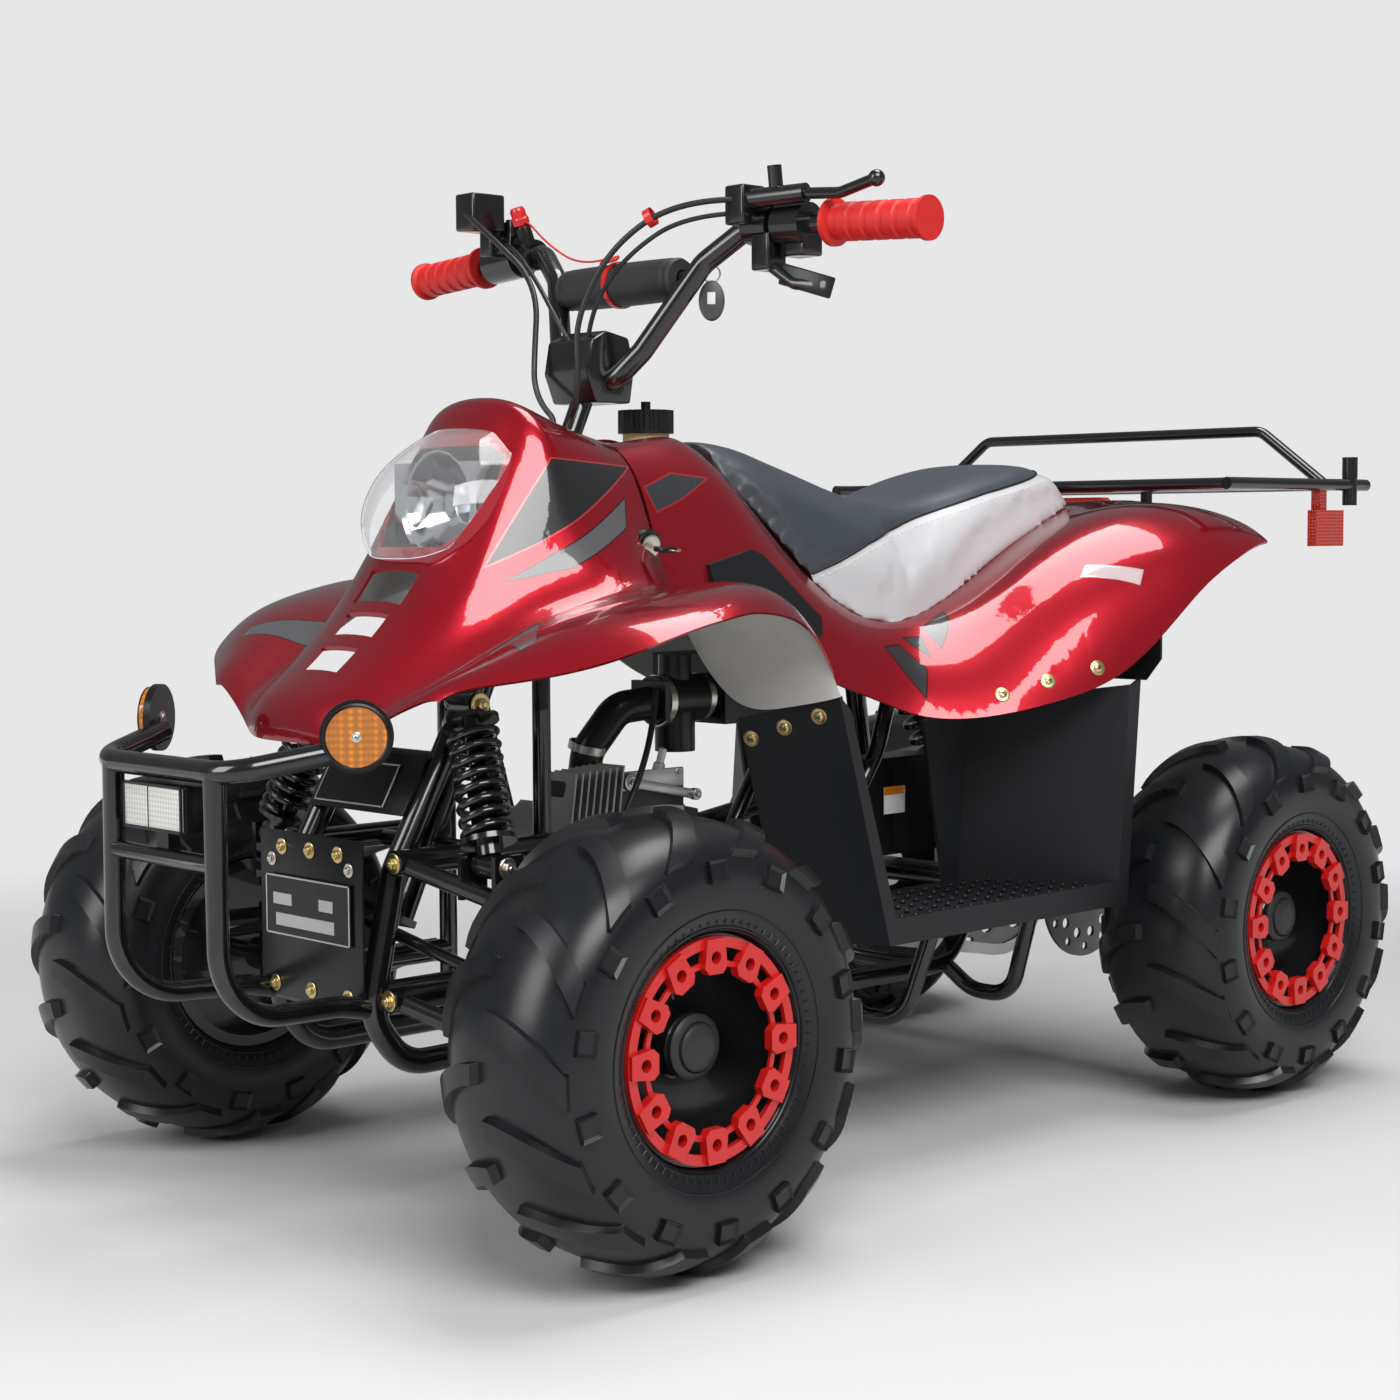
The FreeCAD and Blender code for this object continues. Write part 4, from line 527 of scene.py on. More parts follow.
dressed("front_body", paint, innerSkin, choose=splitSides)
dressed("rear_body", paint, innerSkin, choose=splitSides)
plain = [
    (black, "frame_sides frame_crossbars front_bumper upper_arms lower_arms knuckle_left knuckle_right "
            "tie_rod_left tie_rod_right steering_stem handlebar swingarm rear_rack exhaust front_shocks "
            "rear_shock front_springs rear_spring"),
    (gripRubber, "grips"),
    (blackPlastic, "fuel_cap"),
    (tankPlastic, "fuel_tank"),
    (darkPlastic, "knee_panels footwells"),
    (blackPlastic, "battery_box"),
    (rubber, "mud_flaps"),
    (blackPlastic, "intake key_switch"),
    (steel, "chain"),
    (darkSteel, "sprocket brake_disc"),
    (steel, "rear_axle"),
    (clearLens, "headlamp_lens"),
    (lampChrome, "headlamp_housing"),
    (redLens, "tail_light rear_reflectors"),
    (castAlloy, "engine"),
    (rimPaint, "rim_front_left rim_front_right rear_rims"),
    (ringPlastic, "ring_front_left ring_front_right rear_rings"),
]
for material, names in plain:
    for name in names.split():
        dressed(name, material)

# The clamp's housing and the switches: long edges rounded as moulded, the thumb lever's end pressed flat

controlSet = {"longEdge": 0.009, "corners": (38, 140), "edge": 0.0026, "flatDissolve": 1.5}
thumbSet = {"tip": (0.144, 0.246, 0.876), "root": (0.157, 0.199, 0.891), "face": (0.963, 0.268, 0.036),
            "reach": 0.0112, "flat": 0.3, "wide": 0.021, "thick": 0.0046}


def flattenTip(bm):
    tip = Vector(thumbSet["tip"])
    out = Vector(thumbSet["face"]).normalized()
    for vertex in bm.verts:
        offset = vertex.co - tip
        if offset.length < thumbSet["reach"]:
            vertex.co -= out * offset.dot(out) * (1 - thumbSet["flat"])


def roundedSkin(name, choose=None):
    s = controlSet
    least, most = [math.radians(corner) for corner in s["corners"]]
    bm = merged(name)
    if choose:
        choose(bm)
    bmesh.ops.dissolve_limit(bm, angle_limit=math.radians(s["flatDissolve"]), verts=bm.verts, edges=bm.edges)
    edges = [e for e in bm.edges if e.is_manifold and e.is_convex and e.calc_length() > s["longEdge"]
             and least < e.calc_face_angle(0) < most]
    bevelled(bm, edges, s["edge"], 3, clamp=False)
    piece = finishedMesh(name + "Skin", bm, bodyOf[name], glossPlastic, angle=34)
    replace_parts(piece, name)


# The thumb lever's paddle, a flat plate on the rod's end
def makePaddle():
    s = thumbSet
    tip, root = Vector(s["tip"]), Vector(s["root"])
    along = (tip - root).normalized()
    out = Vector(s["face"])
    out = (out - along * out.dot(along)).normalized()
    bm = bmesh.new()
    slab(bm, at((tip + root) / 2 + along * 0.006) @ framed(along, out.cross(along), out),
         ((tip - root).length + 0.008, s["wide"], s["thick"]), bevel=0.0018)
    finishedMesh("thumbPaddle", bm, "steering", blackPlastic)


roundedSkin("bar_clamp")
roundedSkin("hand_controls", flattenTip)
makePaddle()

# Reflectors and bumper lamp: the lens side of each boxed housing

reflectorSet = {"centre": (0.636, 0.158, 0.466), "away": (0.6, 0.8, 0), "lensFrom": 0.0072}
bumperLampSet = {"lensFrom": 0.7415, "middle": 0.401}


def amberSide(bm):
    for face in bm.faces:
        spot = face.calc_center_median()
        side = math.copysign(1, spot.y)
        away = (spot - sided(reflectorSet["centre"], side)).dot(sided(reflectorSet["away"], side))
        face.material_index = 1 if away > reflectorSet["lensFrom"] else 0


def lampFront(bm):
    for face in bm.faces:
        face.material_index = 1 if face.calc_center_median().x > bumperLampSet["lensFrom"] else 0


dressed("front_reflectors", blackPlastic, amberLens, choose=amberSide)
dressed("bumper_lamp", blackPlastic, paleLens, choose=lampFront)
print("dressed copies made")

# Tyres: balloon carcass, curved lugs in two rows, square shoulder blocks, fine bead ribs

tyreSet = {"widest": 0.080, "beadWide": 0.060, "middle": 0.140, "rise": 0.055, "bead": 0.0995, "lip": 0.0922,
           "steps": 112, "crown": 0.2029}
lugSet = {"count": 14, "rows": 9, "from": 88, "span": 62, "sweep": 0.046, "height": 0.008,
          "halfWidth": 0.0115, "skirt": 1.16, "sunk": 0.002, "gap": 0.0025}
blockSet = {"angle": 10, "size": (0.021, 0.019, 0.0070), "inset": 0.0042, "dish": -0.0022, "lead": 0.03}
ribSet = {"rings": ((-30, 0.0011), (-58, 0.0016), (-66, 0.0009)), "count": 72, "angle": -44,
          "size": (0.0011, 0.0012, 0.009)}


# Carcass outline by angle, 90 at the crown and -90 at the bead
def tyrePoint(phi):
    s = tyreSet
    a = math.radians(phi)
    if phi >= 0:
        return s["widest"] * max(math.cos(a), 0) ** 0.8, s["middle"] + s["rise"] * math.sin(a) ** 0.78
    axial = s["beadWide"] + (s["widest"] - s["beadWide"]) * math.cos(a)
    return axial, s["middle"] - (s["middle"] - s["bead"]) * math.sin(-a)


def tyreNormal(phi):
    ahead = tyrePoint(min(phi + 1.5, 89.9))
    behind = tyrePoint(phi - 1.5)
    run = Vector((behind[0] - ahead[0], behind[1] - ahead[1])).normalized()
    return Vector((-run.y, run.x))


def onTyre(axial, radius, angle):
    return Vector((radius * math.sin(angle), axial, -radius * math.cos(angle)))


# One lug: rows of points from the crown out to the shoulder, with skirts sunk into the carcass
def addLug(bm, side, start):
    s = lugSet
    rows = []
    for i in range(s["rows"] + 1):
        v = i / s["rows"]
        phi = s["from"] - s["span"] * v
        axial, radius = tyrePoint(phi)
        normal = tyreNormal(phi)
        shift = -s["sweep"] * v ** 1.35
        wide = s["halfWidth"] * (0.72 + 0.5 * v)
        row = []
        for u in (-s["skirt"], -1.0, 0.0, 1.0, s["skirt"]):
            skirt = abs(u) > 1.1
            lift = -s["sunk"] if skirt else s["height"] * (1 - 0.12 * v)
            inward = -0.001 if skirt and i == 0 else 0.0
            a = max(axial + normal.x * lift + inward, s["gap"])
            r = min(radius + normal.y * lift, tyreSet["crown"])
            row.append(bm.verts.new(onTyre(side * a, r, start + (shift + wide * u) / radius)))
        rows.append(row)
    sheets = list(zip(rows, rows[1:]))
    for row, phi in ((rows[0], 88), (rows[-1], 24)):
        axial, radius = tyrePoint(phi)
        low = []
        for vert in row:
            foot = Vector((vert.co.x, 0, vert.co.z)).normalized() * (radius - 0.003)
            low.append(bm.verts.new((foot.x, side * (axial if phi < 80 else 0.0015), foot.z)))
        sheets.append((row, low))
    for a, b in sheets:
        for corners in zip(a, a[1:], b[1:], b):
            bm.faces.new(corners)


def addBlock(bm, side, angle):
    s = blockSet
    axial, radius = tyrePoint(s["angle"])
    normal = tyreNormal(s["angle"])
    outward = Vector((normal.y * math.sin(angle), side * normal.x, -normal.y * math.cos(angle))).normalized()
    tangent = Vector((math.cos(angle), 0, math.sin(angle)))
    made = bmesh.new()
    bmesh.ops.create_cube(made, size=1)
    bmesh.ops.scale(made, vec=s["size"], verts=made.verts)
    top = [f for f in made.faces if f.normal.z > 0.9]
    bmesh.ops.inset_individual(made, faces=top, thickness=s["inset"], depth=s["dish"])
    place = at(onTyre(side * axial, radius, angle) + outward * 0.0004)
    axes = framed(tangent, outward.cross(tangent), outward)
    bmesh.ops.transform(made, matrix=place @ axes, verts=made.verts)
    joinInto(bm, made)


def makeTyre():
    bm = bmesh.new()
    half = [tyrePoint(90 - 5 * i)[::-1] for i in range(37)] + [(tyreSet["lip"], tyreSet["beadWide"])]
    onAxle = turned(-90, "X")
    lathe(bm, [(r, -a) for r, a in reversed(half[1:])] + half, onAxle, steps=tyreSet["steps"])
    for side in (1, -1):
        for phi, thick in ribSet["rings"]:
            axial, radius = tyrePoint(phi)
            ring = [(radius + thick * math.cos(t), side * axial + thick * math.sin(t)) for t in wholeTurn(8)]
            lathe(bm, ring, onAxle, steps=tyreSet["steps"])
        for k in range(lugSet["count"]):
            start = math.tau * (k + (0.5 if side < 0 else 0)) / lugSet["count"]
            addLug(bm, side, start)
            addBlock(bm, side, start - blockSet["lead"])
        axial, radius = tyrePoint(ribSet["angle"])
        for angle in wholeTurn(ribSet["count"])[:-1]:
            place = at(onTyre(side * (axial + 0.0001), radius, angle))
            slab(bm, place @ Matrix.Rotation(-angle, 4, "Y"), ribSet["size"], bevel=0.0003, segments=1)
    bmesh.ops.recalc_face_normals(bm, faces=bm.faces)
    return takenMesh("tyreMesh", bm)


tyreMesh = makeTyre()


def placeTyres(name, node, places):
    bm = bmesh.new()
    for x, y in places:
        made = bmesh.new()
        made.from_mesh(tyreMesh)
        flip = Matrix.Diagonal((1, math.copysign(1, y), 1, 1))
        bmesh.ops.transform(made, matrix=at((x, y, axleHeight)) @ flip, verts=made.verts)
        joinInto(bm, made)
    piece = finishedMesh(name, bm, bodyOf[node], rubber, angle=34)
    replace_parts(piece, node)


placeTyres("tyreFrontLeft", "tyre_front_left", wheelPlaces["left"])
placeTyres("tyreFrontRight", "tyre_front_right", wheelPlaces["right"])
placeTyres("tyresRear", "rear_tyres", wheelPlaces["rear"])
print("tyres made")

# Seat: foam cushion pressed out a little by simulation, pulled in along its side seams

seatSet = {"voxel": 0.0055, "pressure": 4.0, "frames": 20, "rise": 0.006, "shrink": 0.0015, "groove": 0.0022,
           "grooveWidth": 0.007, "piping": 0.0017, "stitch": 0.0075, "thread": 0.00055, "tuck": 0.0035,
           "crown": 0.004, "silver": (0.54, 0.54, 0.555, 1), "gloss": 0.3}
vinylSet = {"first": (0.036, 0.043, 0.054), "second": (0.046, 0.054, 0.067), "roughness": 0.44,
            "spread": 0.12, "fine": 750, "coarse": 14}
seamLine = [(0.030, 0.588), (0.012, 0.596), (-0.074, 0.627), (-0.171, 0.654), (-0.278, 0.682),
            (-0.397, 0.707), (-0.436, 0.7125)]
silverPanel = [(0.024, 0.5905), *seamLine[2:6], (-0.47, 0.7195), (-0.47, 0.55), (0.0, 0.50)]
deckLine = [(0.11, 0.68), (0.04, 0.60), (-0.02, 0.562), (-0.08, 0.545), (-0.135, 0.547), (-0.19, 0.564),
            (-0.25, 0.596), (-0.31, 0.626), (-0.37, 0.648), (-0.45, 0.66)]


def deckHeight(x):
    return blended(deckLine, min(max(x, deckLine[-1][0]), deckLine[0][0]))


def vinylMaterial():
    material, tree, shader = newMaterial("seatVinyl")
    silver = stepped(tree, stripeMask(tree, objectPlace(tree), "xz", silverPanel), -0.0003, 0.0003)
    uneven = grained(tree, **vinylSet)
    feed(tree, shader, {"Base Color": mixed(tree, silver, uneven["Color"], seatSet["silver"]),
                        "Roughness": mixed(tree, silver, uneven["Roughness"], seatSet["gloss"], kind="FLOAT"),
                        "Normal": raised(tree, uneven["Height"], 0.28, 0.0003),
                        "Coat Weight": 0.15, "Coat Roughness": 0.25})
    return material


# Air pressed into the skin, each point moving no further than the rise, and not at all near the deck
def pressedOut(mesh):
    s = seatSet
    piece = linked("cushionStart", mesh)
    start = [v.co.copy() for v in mesh.vertices]
    low = [v.co.z - (deckHeight(v.co.x) + 0.012) for v in mesh.vertices]
    cloth = piece.modifiers.new("cloth", "CLOTH")
    settings = cloth.settings
    settings.use_pressure = True
    settings.uniform_pressure_force = s["pressure"]
    settings.effector_weights.gravity = 0
    settings.quality = 5
    settings.tension_stiffness = 25
    settings.compression_stiffness = 25
    settings.bending_stiffness = 4
    cloth.collision_settings.use_collision = False
    for step in range(1, s["frames"] + 1):
        bpy.context.scene.frame_set(step)
    swollen = bakedMesh(piece)
    for vert, was, above in zip(swollen.vertices, start, low):
        moved = vert.co - was
        limit = s["rise"] * min(max(above / 0.03, 0), 1)
        vert.co = was + moved * min(limit / max(moved.length, 1e-9), 1)
    bpy.context.scene.frame_set(1)
    bpy.data.objects.remove(piece)
    return swollen


# The edge near the deck pressed down towards it, and the groove along the seam
def seamed(mesh):
    s = seatSet
    for vert in mesh.vertices:
        above = vert.co.z - deckHeight(vert.co.x) - (vert.co.y / 0.12) ** 2 * s["crown"]
        if above < 0.014:
            vert.co.z -= s["tuck"] * min((0.014 - above) / 0.010, 1)
        seam = blended(seamLine, vert.co.x)
        if seam is None or abs(vert.co.y) < 0.06:
            continue
        near = abs(vert.co.z - seam) / s["grooveWidth"]
        if near < 1:
            vert.co = vert.co - vert.normal * (s["groove"] * (1 - near * near))


def remadeMesh(mesh, kind, **settings):
    piece = linked("cushionRaw", mesh)
    modifier = piece.modifiers.new("shape", kind)
    for word, value in settings.items():
        setattr(modifier, word, value)
    made = bakedMesh(piece)
    bpy.data.objects.remove(piece)
    return made


def makeSeat():
    bm = merged("seat")
    bmesh.ops.recalc_face_normals(bm, faces=bm.faces)
    mesh = remadeMesh(takenMesh("cushionRaw", bm), "REMESH", mode="VOXEL", voxel_size=seatSet["voxel"])
    for vert in mesh.vertices:
        vert.co = vert.co - vert.normal * seatSet["shrink"]
    mesh = pressedOut(mesh)
    seamed(mesh)
    bm = bmesh.new()
    bm.from_mesh(remadeMesh(mesh, "SUBSURF", levels=1))
    piece = finishedMesh("cushion", bm, "chassis", vinylMaterial(), angle=80)
    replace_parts(piece, "seat")
    return piece


def seamPoints(tree, drop, count):
    found = []
    for i in range(count + 1):
        x = 0.022 - (0.022 + 0.430) * i / count
        place = tree.ray_cast(Vector((x, 0.3, blended(seamLine, x) - drop)), Vector((0, -1, 0)))[0]
        if place:
            found.append(place + Vector((0, 0.0002, 0)))
    return found


# Piping along both seams, and a row of stitches under each
def makePiping(cushion):
    s = seatSet
    bm = bmesh.new()
    bm.from_mesh(cushion.data)
    tree = treeOf(bm)
    top = seamPoints(tree, 0.0, 90)
    stitches = seamPoints(tree, s["stitch"], 110)
    bm = bmesh.new()
    for side in (1, -1):
        tubeAlong(bm, [sided(p, side) for p in top], s["piping"])
        for ends in list(zip(stitches, stitches[1:]))[::2]:
            tubeAlong(bm, [sided(p, side) for p in ends], s["thread"], sides=5, index=1)
    finishedMesh("seatPiping", bm, "chassis", cordRubber, paleLabel, angle=60)


makePiping(makeSeat())
print("seat made")

# Fasteners: hex heads on flanged washers with the bolt's end, and round cross-slot screws


def scaled(size, profile):
    return [(size * r, size * z) for r, z in profile]


def hexBolt(bm, place, direction, size, index=0):
    matrix = aimed(place, direction, spin=size * 300)
    washer = [(0.0003, 0.0002), (size * 1.75, 0.0002)]
    washer += scaled(size, [(1.75, 0.16), (1.62, 0.26), (1.05, 0.28)]) + [(0.0003, size * 0.28)]
    lathe(bm, washer, matrix, steps=24, index=index)
    prism(bm, matrix @ at((0, 0, size * 0.24)), size, size * 0.75, 6, size * 0.1, index=index)
    end = scaled(size, [(0.45, 0.9), (0.45, 1.2), (0.36, 1.28)]) + [(0.0002, size * 1.28)]
    lathe(bm, end, matrix, steps=14, index=index)


def crossScrew(bm, place, direction, size, index=0, dark=2):
    matrix = aimed(place, direction, spin=0.6)
    head = [(1.7, 0.14), (1.55, 0.22), (1, 0.24), (0.96, 0.42), (0.7, 0.62), (0.3, 0.7)]
    profile = [(size * 1.7, 0.0002)] + scaled(size, head) + [(0.0002, size * 0.71)]
    lathe(bm, profile, matrix, steps=24, index=index)
    for spin in (0, 90):
        slot = matrix @ at((0, 0, size * 0.62)) @ turned(spin, "Z")
        slab(bm, slot, (size * 1.15, size * 0.24, size * 0.22), bevel=size * 0.04, index=dark, segments=1)


# A bolt head seated on a CAD piece, found by a line from a start outside it
def boltOnto(bm, name, start, out, size, index=0, least=0):
    hit = onto(name, start, -Vector(out))
    if hit and abs(hit[0].y) >= least:
        hexBolt(bm, hit[0], out, size, index=index)


# Left side: finish (0 brass, 1 zinc), place, direction, half width over the flats
frameBolts = [(0, (0.560, 0.096, 0.216), (1, 0, 0), 0.0056), (0, (0.553, 0.096, 0.341), (1, 0, 0), 0.0056),
              (1, (0.361, 0.096, 0.216), (-1, 0, 0), 0.0065), (1, (0.361, 0.096, 0.341), (-1, 0, 0), 0.0065),
              (0, (0.480, 0.132, 0.484), (0, 1, 0), 0.0062), (1, (0.500, 0.194, 0.341), (0, 1, 0), 0.0056),
              (1, (0.500, 0.147, 0.341), (0, -1, 0), 0.0056)]
mouldScrews = {"size": 0.0048,
               "rear_body": [(-0.137, 0.4, 0.467), (-0.184, 0.4, 0.480), (-0.237, 0.4, 0.493)],
               "footwells": [(0.4, 0.205, 0.440), (0.4, 0.240, 0.452), (0.4, 0.276, 0.464)]}
sheetBolts = {"front": 0.5786, "size": 0.0045, "rows": ((0.347, 0.045), (0.216, 0.0585)), "small": 0.0038}
knuckleBolt = {"place": (0.517, 0.255, 0.254), "size": 0.0052}


def makeBolts():
    front = sheetBolts["front"]
    bm = bmesh.new()
    for side in (1, -1):
        for finish, place, way, size in frameBolts:
            hexBolt(bm, sided(place, side), sided(way, side), size, index=finish)
        for name, way in (("rear_body", (0, -side, 0)), ("footwells", (-1, 0, 0))):
            for start in mouldScrews[name]:
                hit = onto(name, sided(start, side), way)
                if hit:
                    crossScrew(bm, *hit, mouldScrews["size"])
        hexBolt(bm, (front, 0.062 * side, 0.334), (1, 0, 0), sheetBolts["small"], index=1)
        for z, y in sheetBolts["rows"]:
            hexBolt(bm, (front, y * side, z), (1, 0, 0), sheetBolts["size"])
    for z, y in sheetBolts["rows"]:
        hexBolt(bm, (front, 0, z), (1, 0, 0), sheetBolts["size"])
    finishedMesh("frameBolts", bm, "chassis", brassZinc, zinc, blackPlastic)
    for word, side in (("left", 1), ("right", -1)):
        bm = bmesh.new()
        hexBolt(bm, sided(knuckleBolt["place"], side), (0, 0, 1), knuckleBolt["size"])
        finishedMesh("knuckleBolts_" + word, bm, "knuckle_" + word, zinc)


makeBolts()
print("bolts made")

# Sheet in the frame's nose with its two blank plates, and the blank label on the battery box

plateSet = {"sheetAt": (0.5771, 0, 0.283), "sheet": (0.164, 0.158, 0.0026), "lowerAt": (0.5816, 0, 0.292),
            "lower": (0.136, 0.058), "upperAt": (0.5113, 0, 0.4074), "upper": (0.112, 0.046),
            "backing": (0.150, 0.062, 0.0022), "rise": (0.056, 0.099), "edge": 0.0016}
lowerWindows = [(-0.040, 0.006, 0.030, 0.011), (0.030, 0.006, 0.022, 0.011), (-0.004, -0.0135, 0.094, 0.012)]


# A dark plate with a raised pale rim, and pale fields where the real one is printed
def bordered(bm, matrix, wide, high, windows):
    edge = plateSet["edge"]
    slab(bm, matrix, (wide, high, 0.0012), bevel=0.0004, segments=1)
    pale = [(x, y, across, tall, 0.0007) for x, y, across, tall in windows]
    for way in (-1, 1):
        pale.append((0, way * (high / 2 - edge), wide - edge, edge, 0.0008))
        pale.append((way * (wide / 2 - edge), 0, edge, high - edge, 0.0008))
    for x, y, across, tall, thick in pale:
        slab(bm, matrix @ at((x, y, 0.0008)), (across, tall, thick), bevel=0.0002, index=1, segments=1)


def makePlates():
    s = plateSet
    bm = bmesh.new()
    facing = turned(90, "Z") @ turned(90, "X")
    slab(bm, at(s["sheetAt"]) @ facing, s["sheet"])
    bordered(bm, at(s["lowerAt"]) @ facing, *s["lower"], lowerWindows)
    tilted = at(s["upperAt"]) @ Matrix.Rotation(-math.atan2(*s["rise"]), 4, "Y") @ facing
    slab(bm, tilted, s["backing"], bevel=0.0008)
    bordered(bm, tilted @ at((-0.012, -0.004, 0.0020)), *s["upper"], [])
    piece = finishedMesh("frontPlates", bm, "chassis", blackPlastic, silverPlate, angle=30)
    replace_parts(piece, "front_plate")
    label = bmesh.new()
    hit = onto("battery_box", (-0.130, 0.3, 0.345), (0, -1, 0))
    if hit:
        slab(label, at(hit[0] + Vector((0, 0.0005, 0))), (0.034, 0.0008, 0.030), bevel=0.0002)
        slab(label, at(hit[0] + Vector((0, 0.0010, 0.0105))), (0.034, 0.0007, 0.009), bevel=0.0002, index=1)
    finishedMesh("boxLabel", label, "chassis", paleLabel, amberLens, angle=30)


makePlates()

# Bumper lamp's box, lens and frame; centre screws and rims of the round reflectors

lampBars = [(0, 0.0195, 0.096, 0.003), (0, -0.0195, 0.096, 0.003), (0.0468, 0, 0.003, 0.042),
            (-0.0468, 0, 0.003, 0.042), (-0.006, 0, 0.0016, 0.038)]
reflectorRim = [(0.0292, 0.0), (0.0292, 0.0016), (0.0276, 0.0022), (0.0262, 0.0004)]


def makeLampParts():
    bm = bmesh.new()
    middle = bumperLampSet["middle"]
    slab(bm, at((0.7255, 0, middle)), (0.030, 0.098, 0.042), bevel=0.003)
    slab(bm, at((0.7415, 0, middle)), (0.005, 0.092, 0.038), bevel=0.0012, index=3)
    for y, z, across, tall in lampBars:
        slab(bm, at((0.7434, y, middle + z)), (0.0022, across, tall), bevel=0.0005, segments=1)
    for side in (1, -1):
        away = sided(reflectorSet["away"], side)
        centre = sided(reflectorSet["centre"], side)
        for way, size in ((away, 0.0026), (-away, 0.0036)):
            hit = onto("front_reflectors", centre + way * 0.06, -way)
            if hit:
                crossScrew(bm, hit[0], way, size, index=1)
            if hit and way is away:
                lathe(bm, reflectorRim, aimed(hit[0], away), steps=48)
    finishedMesh("lampTrim", bm, "chassis", blackPlastic, zinc, blackPlastic, paleLens)


makeLampParts()

# Head lamp: three chromed bowls turned in coarse facets, each with its bulb

bowls = [((0.424, 0.0, 0.668), 0.050, 0.046, 18), ((0.422, 0.045, 0.668), 0.019, 0.024, 12),
         ((0.422, -0.045, 0.668), 0.019, 0.024, 12)]
bowlRows = 6


def makeBowls():
    bm = bmesh.new()
    for place, wide, depth, facets in bowls:
        matrix = at(place) @ turned(90, "Y")
        steps = [k / bowlRows for k in range(bowlRows + 1)]
        bowl = [(wide * (0.16 + 0.84 * step ** 0.6), -depth * (1 - step)) for step in steps]
        lathe(bm, [(0.0004, -depth)] + bowl + [(wide + 0.002, 0.0006)], matrix, steps=facets)
        bulb = [(wide * 0.10, -depth * 0.38), (wide * 0.13, -depth * 0.55), (wide * 0.13, -depth)]
        lathe(bm, [(0.0004, -depth * 0.35)] + bulb, matrix, steps=16, index=1)
    finishedMesh("lampReflectors", bm, "chassis", lampChrome, steel, angle=12)


makeBowls()
print("lamps made")

# Wheels: hub caps, nuts on two circles, valve stems

hubSet = {"cap": [(0.0285, -0.004), (0.0287, 0.0012), (0.0262, 0.0034), (0.0225, 0.0046), (0.0212, 0.0036),
                  (0.0205, 0.0066), (0.0180, 0.0086), (0.0100, 0.0096), (0.0003, 0.0098)],
          "stem": [(0.0003, 0.030), (0.0030, 0.030), (0.0034, 0.027), (0.0034, 0.016), (0.0046, 0.012),
                   (0.0056, 0.0), (0.0056, -0.014), (0.0003, -0.014)],
          "stemAt": (0.070, 0.030, 0.032), "nuts": (4, 0.046, 0.0062), "ringBolts": (12, 0.0815, 0.0034)}


def wheelParts(name, rim, places):
    bm = bmesh.new()
    for x, y in places:
        side = math.copysign(1, y)
        out = Vector((0, side, 0))
        middle = Vector((x, y, axleHeight))
        hit = onto(rim, middle + out * 0.3, -out)
        centre = hit[0] if hit else middle + out * 0.040
        foot = at((x, centre.y - side * 0.001, axleHeight))
        lathe(bm, hubSet["cap"], foot @ turned(-90 * side, "X"), steps=40)
        for (count, radius, size), least in ((hubSet["nuts"], 0), (hubSet["ringBolts"], abs(y) + 0.02)):
            for k in range(count):
                angle = math.tau * (k + 0.5) / count
                spot = middle + Vector((math.cos(angle), 0, math.sin(angle))) * radius
                boltOnto(bm, rim, spot + out * 0.3, out, size, index=1, least=least)
        stem = aimed(middle + sided(hubSet["stemAt"], side), (0.3, side, 0.1))
        lathe(bm, hubSet["stem"], stem, steps=16, index=2)
    finishedMesh(name, bm, bodyOf[rim], darkEngine, black, rubber)


wheelParts("hubFrontLeft", "rim_front_left", wheelPlaces["left"])
wheelParts("hubFrontRight", "rim_front_right", wheelPlaces["right"])
wheelParts("hubsRear", "rear_rims", wheelPlaces["rear"])
print("hubs made")

# Foot boards: studs in slanting rows

studSet = {"start": (-0.232, 0.176), "pitch": (0.021, 0.0215), "count": (15, 6), "slant": 35,
           "size": (0.012, 0.0052, 0.0036), "front": 0.075, "floor": (0.24, 0.262)}


def makeStuds():
    s = studSet
    low, high = s["floor"]
    bm = bmesh.new()
    for side in (1, -1):
        for i in range(s["count"][0]):
            for j in range(s["count"][1]):
                x = s["start"][0] + s["pitch"][0] * (i + (0.5 if j % 2 else 0))
                y = s["start"][1] + s["pitch"][1] * j
                hit = onto("footwells", (x, side * y, 0.29), (0, 0, -1))
                if not hit or not low < hit[0].z < high or x > s["front"]:
                    continue
                place = at(hit[0] + Vector((0, 0, 0.0016))) @ turned(s["slant"] * side, "Z")
                slab(bm, place, s["size"], bevel=0.0011, segments=1)
    finishedMesh("footStuds", bm, "chassis", darkPlastic, angle=40)


makeStuds()

# Engine: side cover screws on both sides, head nuts, plug with its cap, clamps on the intake

engineSet = {"covers": (((0.092, 0.3, 0.258), 0.050, 1), ((0.120, -0.3, 0.256), 0.044, -1)),
             "coverScrews": 8, "screw": 0.0036, "headFoot": (0.190, 0, 0.302), "headTilt": 14,
             "headLength": 0.12, "nut": 0.0046}
clamps = [((0.256, 0.0222, 0.424), (0.1, -0.25, -1), 0.0188), ((0.170, 0.034, 0.467), (1, 0, 0), 0.0262),
          ((0.112, 0.034, 0.469), (1, 0, 0), 0.0236)]
plugBody = [(0.0085, 0.0), (0.0085, 0.003), (0.0062, 0.004), (0.0062, 0.012), (0.0045, 0.014),
            (0.0042, 0.026), (0.0003, 0.026)]
plugCap = [(0.0065, 0.014), (0.0078, 0.018), (0.0078, 0.034), (0.0060, 0.040), (0.0003, 0.040)]


